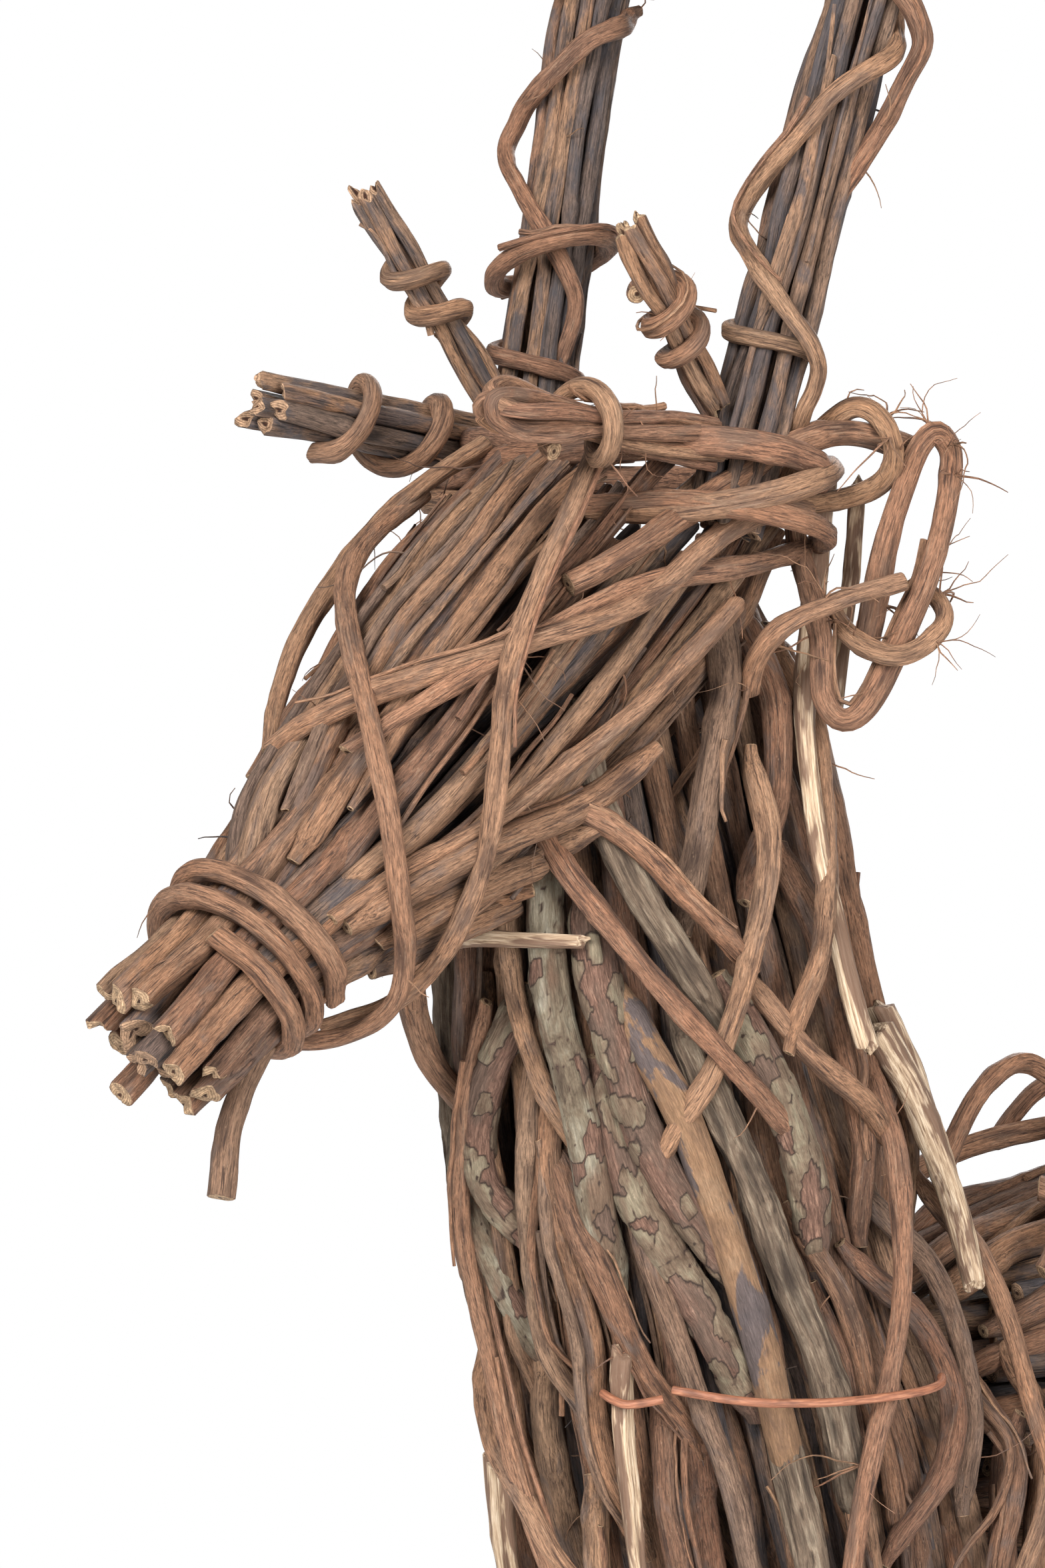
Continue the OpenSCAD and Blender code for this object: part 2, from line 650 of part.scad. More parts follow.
// Thick pieces with their bark on, each [points on the skin from the top down, share of the branch radius].
module neck_bark_branches() {
    keys = [
        [[[0.80, 25, 2], [0.72, 23, 3], [0.65, 25, 4], [0.58, 28, 4], [0.50, 27, 5]], 0.84],
        [[[0.76, 37, 2], [0.66, 40, 4], [0.58, 45, 4], [0.50, 53, 5]], 0.92],
        [[[0.62, 33, 7], [0.53, 39, 7], [0.46, 46, 7], [0.38, 51, 7]], 0.84],
        [[[0.68, 45, 1], [0.64, 51, 2], [0.56, 57, 3], [0.49, 58, 4], [0.39, 59, 4], [0.32, 58, 5]], 0.84],
        [[[0.66, 59, 3], [0.56, 67, 4], [0.47, 69, 4], [0.39, 71, 4], [0.30, 70, 5]], 0.90],
        [[[0.69, 73, 3], [0.65, 77, 3], [0.60, 80, 3], [0.52, 80, 4]], 0.92],
        [[[0.68, 4, 4], [0.62, -6, 3], [0.57, -9, 3], [0.51, 0, 5]], 0.78],
        [[[0.62, -26, 4], [0.55, -22, 3], [0.48, -10, 4], [0.42, -6, 5]], 0.74],
        [[[0.88, 44, -1], [0.83, 49, 1], [0.77, 58, 2], [0.70, 66, 3]], 0.86],
        [[[0.31, 58, 5], [0.24, 58, 4], [0.12, 54, 5]], 0.86],
        [[[0.80, -30, 3], [0.66, -34, 4], [0.52, -30, 4], [0.40, -34, 5]], 0.90],
        [[[0.76, -56, 3], [0.60, -50, 4], [0.44, -52, 4], [0.30, -46, 5]], 0.95],
        [[[0.72, -84, 3], [0.56, -76, 4], [0.42, -70, 4], [0.32, -64, 5]], 0.90]
    ];
    color(lichen_bark)
        sticks([for (k = keys) [on(neck_skin, k[0], 5), branch_r * k[1] * 0.94, branch_r * k[1] * 0.86]],
            vine_sides);
}

// Split pieces that show pale wood.
module neck_split_strips() {
    keys = [
        [[[0.41, 28, 1], [0.36, 25, 1], [0.30, 24, 1], [0.20, 22, 3]], 4.0],
        [[[0.68, 116, -1], [0.60, 128, -2], [0.52, 136, -1], [0.45, 128, 1]], 4.6],
        [[[0.70, 124, 0], [0.61, 138, -2], [0.53, 146, -2], [0.46, 138, 1]], 3.6],
        [[[0.75, -23, -3], [0.76, 8, -5], [0.76, 37, -5]], 3.0],
        [[[0.66, -112, 1], [0.52, -106, 0], [0.38, -100, 1]], 5.0],
        [[[0.30, -22, 1], [0.20, -26, 0], [0.12, -24, 2]], 4.2]
    ];
    color(split_wood)
        sticks([for (k = keys) [on(neck_skin, k[0], 6), k[1], k[1] * 0.75]]);
}

// Sticks laid across the others at a steep angle near the throat and the nape.
module neck_cross_sticks() {
    keys = [
        [[[0.84, 30, -6], [0.78, 43, -8], [0.71, 55, -8], [0.62, 73, -6]], 3.9],
        [[[0.86, 26, -4], [0.835, 52, -8], [0.76, 71, -6]], 3.8],
        [[[0.86, 93, -4], [0.77, 80, -4], [0.68, 66, -3], [0.60, 50, -3]], 3.5],
        [[[0.70, 80, -4], [0.66, 88, -4], [0.605, 105, -4]], 3.6],
        [[[0.92, 122, -3], [0.84, 112, -4], [0.76, 96, -7], [0.70, 86, -8]], 3.8],
        [[[0.40, -18, -2], [0.33, -14, -4], [0.28, -2, -4], [0.21, 6, -1]], 3.6],
        [[[0.74, -20, -12], [0.68, -24, -8], [0.62, -22, -1]], 4.8],
        [[[0.90, -50, -4], [0.78, -66, -6], [0.66, -88, -5], [0.60, -100, -2]], 4.1],
        [[[0.52, -44, 0], [0.42, -58, -3], [0.30, -74, -3], [0.22, -84, 0]], 4.1]
    ];
    color(bark_brown)
        sticks([for (k = keys) [on(neck_skin, k[0], 6), k[1], k[1] * 0.88]]);
}

// Long vines on top of everything else, which tie the neck to the shoulder.
module neck_vines() {
    keys = [
        [[0.62, 110, -3], [0.51, 97, -5], [0.40, 84, -5], [0.33, 74, -5], [0.24, 64, -5], [0.12, 60, -3]],
        [[0.52, 142, -1], [0.42, 130, -5], [0.30, 116, -6], [0.18, 118, -2]],
        [[0.36, 134, -4], [0.29, 116, -5], [0.22, 98, -5], [0.12, 84, -3]],
        [[0.66, -6, -2], [0.50, -14, -3], [0.34, -6, -5], [0.16, 8, -2]],
        [[0.62, -110, -4], [0.46, -100, -6], [0.30, -84, -6], [0.12, -76, -2]],
        [[0.80, -112, -2], [0.64, -120, -4], [0.50, -132, -2]],
        [[0.50, 178, 0], [0.60, 172, -3], [0.74, 176, -3], [0.88, 184, 0]]
    ];
    color(vine_brown)
        sticks([for (k = keys) [on(neck_skin, k, 8), vine_r * 0.84, vine_r * 0.74]]);
}

module neck_wire_tie() {
    color(copper)
        sticks([
            [on(neck_skin, [[0.380, 38, -2], [0.372, 52, -7], [0.37, 62, -8],
                [0.37, 74, -8], [0.375, 88, -10], [0.38, 96, -2]], 9), wire_r, wire_r],
            [on(neck_skin, [[0.375, 22, -1], [0.368, 28, -5], [0.372, 35, -2]], 5), wire_r, wire_r]
        ]);
}

// ---------------------------------------------------------------- head

// A stick inside the head at a share of the way from its axis to its skin.
function head_inner(angle, u0, u1, share0, share1, r, n = 5) =
    let (
        spot = function (u, share)
            let (c = curve(u, head_rows))
            muzzle_tip + head_axis * u * head_length + head_up * (c[1] + c[3] * share * cos(angle))
            + [c[2] * share * sin(angle), 0, 0],
        um = mix(u0, u1, 0.5)
    )
    [
        path([spot(u0, share0), spot(mix(u0, u1, 0.25), mix(share0, share1, 0.15)),
            spot(um, mix(share0, share1, 0.5)), spot(u1, share1)], n),
        r,
        r * 0.9
    ];

module muzzle_core_sticks() {
    inner_count = 6;
    color(dark_bark)
        sticks(concat(
            [head_inner(0, -0.015, 0.80, 0, 0, stick_r * 0.9)],
            [for (i = [0 : inner_count - 1])
                head_inner(i * 60 + 8, 0.025 * scatter(i, 61), 0.86,
                    0.40, 0.40, stick_r * (0.86 + 0.06 * scatter(i, 62)))]
        ));
}

module muzzle_rim_sticks() {
    rim_count = 12;
    color(bark_brown)
        sticks([for (i = [0 : rim_count - 1])
            head_inner(
                (i + 0.10 * scatter(i, 65)) * 360 / rim_count,
                0.03 * scatter(i, 63), 0.80 + 0.06 * scatter(i, 64),
                    0.81, 0.62, stick_r * (0.86 + 0.05 * scatter(i, 66))
            )]);
}

module cheek_sticks() {
    cheek_count = 18;
    color(bark_brown)
        sticks([for (i = [0 : cheek_count - 1])
            let (
                a = (i + 0.2 * scatter(i, 71)) * 360 / cheek_count,
                lean = 12 * sin(a),
                r = stick_r * (0.78 + 0.12 * scatter(i, 72)),
                u0 = 0.30 + 0.05 * scatter(i, 73),
                u1 = 0.92 + 0.06 * scatter(i, 74)
            )
            [on(head_skin, [[u0, a + lean * 0.4, 4], [0.50, a, 5],
                [0.70, a - lean * 0.5, 6], [u1, a - lean, 6]], 5), r, r * 0.85]]);
}

// Thick sticks that leave the jaw and lie over the side of the neck, laid by hand on the left and mirrored.
module jaw_sticks() {
    jaws = [
        [[[0.24, 100, 2], [0.33, 102, 0], [0.46, 110, -2]], [[0.855, 44, -6], [0.885, 64, -5]], 5.0],
        [[[0.27, 124, 2], [0.37, 124, 0], [0.48, 136, -2]], [[0.815, 26, -5], [0.84, 46, -5]], 4.6],
        [[[0.26, 150, 1], [0.36, 152, 0], [0.46, 160, -3]], [[0.79, 8, -4], [0.80, 26, -4]], 4.2]
    ];
    color(bark_brown)
        sticks([
            for (side = [LEFT, RIGHT], j = jaws)
                let (
                    on_head = [for (q = j[0]) head_skin([q[0], side * (q[1] + (side > 0 ? 0 : 4)), q[2]])],
                    on_neck = [for (q = j[1]) neck_skin([q[0], side * q[1], q[2]])]
                )
                [path(concat(on_head, on_neck), 7), j[2], j[2] * 0.9]
        ]);
}

// Long vines wound over the head, laid by hand from the crown round the jaw.
module head_vines() {
    keys = [
        [[0.76, -30, -4], [0.62, -20, -7], [0.51, 2, -6], [0.39, 43, -5],
            [0.31, 84, -5], [0.27, 124, -7], [0.22, 160, -14], [0.16, 196, -11]],
        [[0.88, 30, -3], [0.78, 43, -10], [0.66, 52, -7], [0.52, 68, -5],
            [0.42, 97, -5], [0.35, 124, -6], [0.28, 152, -9], [0.20, 180, -10]],
        [[0.86, -22, -1], [0.72, -28, -6], [0.60, -29, -7],
            [0.50, -27, -7], [0.42, -24, -4], [0.36, -16, 0]],
        [[0.98, 100, -9], [0.93, 88, -6], [0.84, 83, -3], [0.74, 80, -2],
            [0.63, 68, -2], [0.49, 40, -1], [0.40, 13, -1], [0.36, -12, 0]],
        [[0.98, 118, -4], [0.84, 92, 0], [0.75, 77, 0], [0.65, 66, 0],
            [0.56, 58, 0], [0.47, 47, 1], [0.38, 32, 2]],
        [[0.84, 106, -1], [0.68, 107, -2], [0.56, 104, 0], [0.45, 101, 1], [0.34, 93, 2], [0.23, 87, 2]],
        [[0.90, -66, -3], [0.70, -78, -5], [0.48, -94, -5], [0.36, -116, -5], [0.27, -150, -7]],
        [[0.94, -90, -2], [0.76, -80, 0], [0.58, -64, 0], [0.44, -44, 1], [0.34, -30, 2]]
    ];
    sizes = [0.85, 0.9, 0.85, 1, 0.85, 0.8, 0.85, 0.85];
    color(vine_brown)
        sticks([for (i = [0 : len(keys) - 1])
            [on(head_skin, keys[i], 11), vine_r * sizes[i], vine_r * sizes[i] * 0.85]]);
}

module muzzle_lashing() {
    lash = function (u, extra) muzzle_tip + head_axis * head_length * u + head_up * extra;
    color(vine_brown)
        sticks([winding(lash(0.115, 0), lash(0.20, 0), muzzle_r - 0.5,
            muzzle_r + 1.5, 2.3, vine_r * 0.9, 130, 10)]);
}

module chin_twig() {
    from = head_skin([0.13, 166, 0]);
    color(bark_brown)
        sticks([[path([from, from + [2, -11, -15], from + [3, -19, -30], from + [4, -23, -46]], 6),
            stick_r * 0.7, stick_r * 0.85]], vine_sides);
}

// ---------------------------------------------------------------- antlers

antler_root_z = 846;
lean_way = [0, tan(antler_lean), 0];
function antler_root(side) = [side * antler_gap / 2, -193, antler_root_z];
function antler_at(side, rise) = antler_root(side) + lean_way * rise + [side * tan(antler_splay) * rise,
    0, rise];
split_rise = antler_rise * 0.62;
beam_r = 13;

module antler_beam(side) {
    color(dark_bark)
        poles(bundle(antler_root(side), antler_at(side, split_rise),
            beam_r, beam_r - 1, 4, 11, 80 + side, 18));
}

// A vine laid round an antler beam through [height above the root, angle round it, distance off its sticks].
// The angle is 0 at the front and 90 on the animal's left.
function round_beam(side, keys, n, r) = [
    for (q = path(keys, n))
        antler_at(side, q[0]) + (beam_r + r + q[2]) * [sin(q[1]), -cos(q[1]), 0]
];

module antler_spiral(side) {
    upper = side > 0
        ? [[172, 64, 0], [160, 98, 3], [147, 113, 8], [130, 116, 3], [112, 120, 1]]
        : [[171, 125, 0], [164, 60, 0], [151, 13, 0],
            [141, -35, 1], [130, -46, 4], [117, -10, 1],
                [103, 27, 0], [90, 58, 0], [76, 88, 0], [65, 94, 0]];
    lower = side > 0
        ? [[152, 140, 0], [144, 98, 0], [133, 50, 0],
            [119, 20, 0], [106, -20, 1], [95, -42, 3], [84, -8, 1],
            [71, 35, 2], [58, 68, 7], [46, 98, 4], [35, 112, 0], [26, 150, 0]]
        : [[84, -75, 1], [84, -45, 2], [89, 0, 4], [94, 40, 8], [97, 75, 8],
            [97, 110, 3], [94, 160, 0], [90, 210, 0], [86, 260, 0]];
    tie = [[64, -70, 0], [60, -20, 0], [57, 30, 0], [54, 80, 0], [52, 120, 0], [54, 160, 0]];
    thick = vine_r * 0.84;
    thin = vine_r * 0.66;
    color(vine_brown)
        sticks([
            [round_beam(side, upper, len(upper) * 2 - 3, thick), thick, thick * 0.9],
            [round_beam(side, lower, len(lower) * 2 - 3, thick), thick, thick * 0.9],
            [round_beam(side, tie, 9, thin), thin, thin]
        ]);
}

// The lowest tine runs forward, level with the crown, and the second one rises in front of the beam.
brow_d = 20;
second_d = 13;
function brow_root(side) = antler_at(side, side > 0 ? 24 : 30) + [side * 4, -beam_r - 4, 0];
function brow_tip(side) = brow_root(side) + [-side * 5, -90, 9];
function second_root(side) = antler_at(side, side > 0 ? 37 : 48) + [0, -beam_r - 5, 0];
function second_tip(side) = second_root(side) + [side * 11, -44, side > 0 ? 50 : 62];

module brow_tine(side) {
    color(side > 0 ? bark_brown : dark_bark)
        poles(bundle(brow_root(side), brow_tip(side), brow_d / 2 - 1, brow_d / 2, 1, 6, 90 + side, 7));
}

module brow_tine_binding(side) {
    a = brow_root(side);
    b = brow_tip(side);
    span = side > 0 ? [0.40, 0.64] : [0.14, 0.72];
    turns = side > 0 ? 1.3 : -1.7;
    color(vine_brown)
        sticks([
            winding(mix(a, b, span[0]), mix(a, b, span[1]),
                brow_d / 2 - 1.5, brow_d / 2 - 1, turns, vine_r * 0.85, 60, 9)
        ]);
}

module second_tine(side) {
    color(dark_bark)
        poles(bundle(second_root(side), second_tip(side),
            second_d / 2 - 0.5, second_d / 2, 1, 5, 100 + side, 7));
}

module second_tine_binding(side) {
    a = second_root(side);
    b = second_tip(side);
    held_r = second_d / 2 - 1;
    color(vine_brown)
        sticks([winding(mix(a, b, 0.28), mix(a, b, 0.68),
            held_r, held_r, 2.2 * side, vine_r * 0.85, 0, 9)]);
}

// The antler forks into a forward tine and a rear tine. They lie in front of and behind the beam's top and are
// tied to it there.
top_d = 18;
fork_lap = 32;
fork_reach = beam_r + top_d / 2 + 1;
function fork(side) = antler_at(side, split_rise - fork_lap);
function top_tines(side) = [
    [fork(side) + [0, -fork_reach, 0], fork(side) + [side * 24, -78, 127]],
    [fork(side) + [0, fork_reach, 0], antler_at(side, antler_rise) + [side * 8, 36, 0]]
];

// An oval coil round the beam and both tines.
function fork_tie(side) = [
    for (i = [0 : 20])
        let (a = 200 + 640 * i / 20, rise = 4 + 0.6 * i)
        fork(side) + lean_way * rise + [21 * sin(a), -3.5 - (39.5 + 0.2 * i) * cos(a), rise]
];

module top_tine_set(side) {
    color(dark_bark)
        for (i = [0 : 1]) {
            t = top_tines(side)[i];
            poles(bundle(t[0], t[1], top_d / 2, top_d / 2, 1, 6, 110 + 10 * i + side, 10));
        }
}

module top_tine_bindings(side) {
    color(vine_brown)
        sticks([
            for (t = top_tines(side))
                winding(mix(t[0], t[1], 0.32), mix(t[0], t[1], 0.80),
                    top_d / 2 - 0.5, top_d / 2 - 0.5, 2.1 * side, vine_r * 0.8, 40, 8),
            [fork_tie(side), vine_r * 0.8, vine_r * 0.8]
        ]);
}

// ---------------------------------------------------------------- crown and ears

// Oval coils that hold both antler roots, each
// [height, half width, half depth, tilt, start angle, sweep, share of the vine's radius].
module crown_vines() {
    coils = [
        [866, 76, 37, 3, 160, 330, 1.2],
        [857, 80, 41, -4, 20, 320, 1.0],
        [847, 76, 41, 3, 250, 300, 0.95],
        [876, 66, 33, -4, 210, 210, 1.1]
    ];
    color(vine_brown)
        sticks([
            for (c = coils)
                [
                    [for (i = [0 : 12])
                        let (a = c[4] + c[5] * i / 12, drift = i / 4)
                        [(c[1] + drift) * sin(a), -188 - (c[2] + drift) * cos(a),
                            c[0] + c[3] * sin(a * 2) + c[3] * cos(a)]],
                    vine_r * c[6],
                    vine_r * c[6] * 0.9
                ]
        ]);
}

// An ear's own frame: across runs outwards and back from its root, up is +Z, out is its normal.
ear_root = [52, -173, 858];
ear_across = [cos(45), sin(45), 0];
ear_out = [sin(45), -cos(45), 0];
function ear_path(side, keys, n) =
    mirrored([for (p = path(keys, n)) ear_root + ear_across * p[0] + [0, 0, p[1]] + ear_out * p[2]], side);

module ear_loops(side) {
    // The thickest vine comes up over the cheek and ends behind the ear's top.
    stem = [[-60, -30, 50], [-41, -20, 44], [-21, -5, 28],
        [-6, 6, 19], [10, 14, 13], [26, 16, 6], [42, 12, -6]];
    upper = [[-16, -3, -4], [0, -5, -3], [15, -4, -3], [27, -1, -1], [34, 4, 4], [36, 12, 9], [32, 21, 9],
        [24, 25, 7], [13, 18, 3], [6, 9, -4], [1, 0, -11], [-6, -10, -14]];
    // The rim goes down the inside, round the lobe, up the outside, and bends over and down again in front.
    rim = [[12, 10, -13], [7, -2, -13], [7, -16, -9],
        [11, -34, -2], [14, -50, 1], [15, -63, 2], [22, -70, 2],
        [31, -60, 3], [39, -43, 4], [46, -27, 4], [51, -10, 2], [53, 4, 0], [53, 12, 0], [49, 17, 2],
        [44, 12, 3], [40, 2, 4], [36, -10, 5], [33, -22, 4], [30, -36, 1], [27, -50, -4]];
    brace = [[-8, -62, 0], [-5, -51, 8], [3, -42, 12], [13, -37, 13], [26, -32, 13], [39, -28, 11]];
    hook = [[18, -38, -5], [22, -44, 2], [29, -49, 8], [37, -51, 10],
        [45, -48, 8], [51, -41, 3], [49, -34, -3], [42, -29, -8]];
    color(vine_brown)
        sticks([
            [ear_path(side, stem, 11), vine_r, vine_r * 0.92],
            [ear_path(side, upper, 18), vine_r * 0.85, vine_r * 0.75],
            [ear_path(side, rim, 31), vine_r * 0.82, vine_r * 0.92],
            [ear_path(side, brace, 9), vine_r * 0.85, vine_r * 0.7],
            [ear_path(side, hook, 13), vine_r * 0.75, vine_r * 0.75]
        ]);
}

// Split vines that run from each ear down the back of the neck.
module ear_tails() {
    long = [[15, 8, -12], [13, -14, -13], [11, -34, -13],
        [9, -60, -13], [10, -92, -8], [17, -128, -3], [28, -170, 0]];
    short = [[25, 2, -14], [23, -22, -14], [20, -44, -13], [18, -66, -12]];
    color(split_wood)
        sticks([
            for (side = [LEFT, RIGHT])
                each [
                    [ear_path(side, long, 11), vine_r * 0.9, vine_r * 0.75],
                    [ear_path(side, short, 6), vine_r * 0.75, vine_r * 0.6]
                ]
        ]);
}

// ---------------------------------------------------------------- nodes

frame_spine();
frame_leg_rods();
frame_body_hoops();
frame_neck_hoops();
leg_sticks(legs[0]);  // leg_sticks_front_left
leg_sticks(legs[1]);  // leg_sticks_front_right
leg_sticks(legs[2]);  // leg_sticks_hind_left
leg_sticks(legs[3]);  // leg_sticks_hind_right
leg_lashings(legs[0]);  // leg_lashings_front_left
leg_lashings(legs[1]);  // leg_lashings_front_right
leg_lashings(legs[2]);  // leg_lashings_hind_left
leg_lashings(legs[3]);  // leg_lashings_hind_right
shoulder_sticks(legs[0]);  // shoulder_sticks_left
shoulder_sticks(legs[1]);  // shoulder_sticks_right
haunch_sticks(legs[2]);  // haunch_sticks_left
haunch_sticks(legs[3]);  // haunch_sticks_right
body_core_sticks();
neck_core_sticks();
body_inner_sticks();
body_outer_sticks();
body_cross_vines();
back_vine_curls();
rump_vines();
tail_sticks();
tail_binding();
neck_inner_sticks();
neck_middle_sticks();
neck_outer_sticks();
neck_bark_branches();
neck_split_strips();
neck_cross_sticks();
neck_vines();
neck_wire_tie();
muzzle_core_sticks();
muzzle_rim_sticks();
cheek_sticks();
jaw_sticks();
head_vines();
muzzle_lashing();
chin_twig();
crown_vines();
ear_loops(LEFT);  // ear_loops_left
ear_loops(RIGHT);  // ear_loops_right
ear_tails();
antler_beam(LEFT);  // antler_beam_left
antler_beam(RIGHT);  // antler_beam_right
antler_spiral(LEFT);  // antler_spiral_left
antler_spiral(RIGHT);  // antler_spiral_right
brow_tine(LEFT);  // brow_tine_left
brow_tine(RIGHT);  // brow_tine_right
brow_tine_binding(LEFT);  // brow_tine_binding_left
brow_tine_binding(RIGHT);  // brow_tine_binding_right
second_tine(LEFT);  // second_tine_left
second_tine(RIGHT);  // second_tine_right
second_tine_binding(LEFT);  // second_tine_binding_left
second_tine_binding(RIGHT);  // second_tine_binding_right
top_tine_set(LEFT);  // top_tines_left
top_tine_set(RIGHT);  // top_tines_right
top_tine_bindings(LEFT);  // top_tine_bindings_left
top_tine_bindings(RIGHT);  // top_tine_bindings_right
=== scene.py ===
import math
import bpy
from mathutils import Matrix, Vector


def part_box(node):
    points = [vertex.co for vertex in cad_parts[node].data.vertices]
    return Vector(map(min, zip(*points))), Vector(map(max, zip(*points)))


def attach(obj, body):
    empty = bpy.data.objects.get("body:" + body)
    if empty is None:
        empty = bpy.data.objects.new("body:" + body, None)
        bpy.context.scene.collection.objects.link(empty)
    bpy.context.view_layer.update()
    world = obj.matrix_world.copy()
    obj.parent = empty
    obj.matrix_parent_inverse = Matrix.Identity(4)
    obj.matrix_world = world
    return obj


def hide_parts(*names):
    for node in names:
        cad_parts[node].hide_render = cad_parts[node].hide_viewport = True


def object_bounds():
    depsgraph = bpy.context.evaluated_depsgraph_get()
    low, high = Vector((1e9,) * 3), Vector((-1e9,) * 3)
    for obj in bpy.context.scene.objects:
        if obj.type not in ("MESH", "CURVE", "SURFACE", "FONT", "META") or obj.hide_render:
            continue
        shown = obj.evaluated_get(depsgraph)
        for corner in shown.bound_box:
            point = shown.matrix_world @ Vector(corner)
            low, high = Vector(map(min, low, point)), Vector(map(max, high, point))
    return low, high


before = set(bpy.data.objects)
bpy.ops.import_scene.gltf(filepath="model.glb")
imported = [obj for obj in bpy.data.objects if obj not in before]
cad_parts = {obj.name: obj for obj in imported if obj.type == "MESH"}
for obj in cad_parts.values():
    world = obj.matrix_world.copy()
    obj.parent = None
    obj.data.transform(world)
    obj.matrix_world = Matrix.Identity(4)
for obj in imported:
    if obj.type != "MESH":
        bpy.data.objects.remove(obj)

import zlib

import bmesh
import bpy
import numpy as np
from mathutils import Vector

cad_box = [list(corner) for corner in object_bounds()]

MM = 0.001
TAU = 2 * math.pi


# ---------------------------------------------------------------- reading the frame's sticks

SAME_POINT = 0.01 * MM
END_SHARE = 0.01     # the share of a straight stick's length that counts as its end
END_SLACK = 0.6 * MM  # and a little more, as its ends may be sawn askew


def unit(v):
    return v / max(np.linalg.norm(v), 1e-12)


def loose_parts(obj):
    """Each separate solid of a CAD node.

    Gives all points, which points are next to which, and each solid as a list of its points' numbers.
    """
    bm = bmesh.new()
    bm.from_mesh(obj.data)
    bmesh.ops.remove_doubles(bm, verts=bm.verts, dist=SAME_POINT)
    bm.verts.index_update()
    points = np.array([v.co[:] for v in bm.verts])
    linked = [sorted(e.other_vert(v).index for e in v.link_edges) for v in bm.verts]
    bm.free()
    parts = []
    seen = set()
    for first in range(len(points)):
        if first in seen:
            continue
        part = [first]
        seen.add(first)
        for i in part:
            for n in linked[i]:
                if n not in seen:
                    seen.add(n)
                    part.append(n)
        parts.append(part)
    return points, linked, parts


def rings_from(part, linked):
    """The rings of points of a bent stick, from one end to the other, or None for another kind of solid."""
    hubs = [i for i in part if all(len(linked[n]) == 5 for n in linked[i])]
    if not hubs:
        return None
    rings = []
    seen = {hubs[0]}
    ring = [hubs[0]]
    while ring:
        rings.append(ring)
        ring = sorted({n for i in ring for n in linked[i]} - seen)
        seen.update(ring)
    inner = rings[1:-1]
    if len(rings[-1]) != 1 or len({len(r) for r in inner}) != 1:
        return None
    return inner


def straight_ends(spots):
    """The two end circles of a straight stick as (centre, radius) each."""
    middle = spots.mean(axis=0)
    way = np.linalg.svd(spots - middle, full_matrices=False)[2][0]
    at = (spots - middle) @ way
    reach = END_SHARE * (at.max() - at.min()) + END_SLACK
    ends = []
    for chosen in (at < at.min() + reach, at > at.max() - reach):
        circle = spots[chosen]
        centre = circle.mean(axis=0)
        across = circle - centre
        across = across - np.outer(across @ way, way)
        ends.append((centre, np.linalg.norm(across, axis=1).max()))
    return ends


def sticks_of(node):
    """Every stick of a CAD node as (points along its middle, radii there), thick end first."""
    points, linked, parts = loose_parts(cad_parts[node])
    found = []
    for part in parts:
        rings = rings_from(part, linked)
        if rings:
            centres = np.array([points[r].mean(axis=0) for r in rings])
            radii = np.array([np.linalg.norm(points[r] - c, axis=1).mean() for r, c in zip(rings, centres)])
        else:
            ends = straight_ends(points[part])
            centres = np.array([c for c, _ in ends])
            radii = np.array([r for _, r in ends])
        if radii[0] < radii[-1]:
            centres = centres[::-1]
            radii = radii[::-1]
        found.append((centres, radii))
    return found


def turns_of(node):
    """Every closed ring of a CAD node as (middle, way through it, ring radius, vine radius)."""
    points, _, parts = loose_parts(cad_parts[node])
    found = []
    for part in parts:
        spots = points[part]
        middle = (spots.max(axis=0) + spots.min(axis=0)) / 2
        way = np.linalg.svd(spots - middle, full_matrices=False)[2][2]
        way = way * np.sign(way[2])
        at = (spots - middle) @ way
        out = np.linalg.norm(spots - middle - np.outer(at, way), axis=1)
        vine = (at.max() - at.min()) / 2
        found.append((middle, way, out.max() - vine, vine))
    return sorted(found, key=lambda turn: turn[0][2])


# ---------------------------------------------------------------- curves and noise

def along(points, radii, step):
    """Points, radii and distances every step along a smooth curve through the given points."""
    padded = np.vstack([2 * points[0] - points[1], points, 2 * points[-1] - points[-2]])
    fine_count = 12
    t = np.linspace(0, 1, fine_count, endpoint=False)[:, None]
    fine = []
    for a, b, c, d in zip(padded[:-3], padded[1:-2], padded[2:-1], padded[3:]):
        square = 2 * a - 5 * b + 4 * c - d
        cube = 3 * b - a - 3 * c + d
        fine.append(0.5 * (2 * b + (c - a) * t + square * t**2 + cube * t**3))
    fine = np.vstack(fine + [points[-1:]])
    run = np.concatenate([[0], np.cumsum(np.linalg.norm(np.diff(fine, axis=0), axis=1))])
    count = max(4, round(run[-1] / step) + 1)
    s = np.linspace(0, run[-1], count)
    centre = np.stack([np.interp(s, run, fine[:, k]) for k in range(3)], axis=1)
    return centre, np.interp(s, run[::fine_count], radii), s


def carried_frames(centre):
    """The way along a curve and two directions across it that don't spin as it bends."""
    way = np.gradient(centre, axis=0)
    way /= np.linalg.norm(way, axis=1, keepdims=True)
    side = np.empty_like(way)
    start = np.array([0, 0, 1.0]) if abs(way[0][2]) < 0.8 else np.array([1.0, 0, 0])
    now = unit(start - way[0] * (start @ way[0]))
    for i, w in enumerate(way):
        now = unit(now - w * (now @ w))
        side[i] = now
    return way, side, np.cross(way, side)


def ease(x):
    return x * x * (3 - 2 * x)


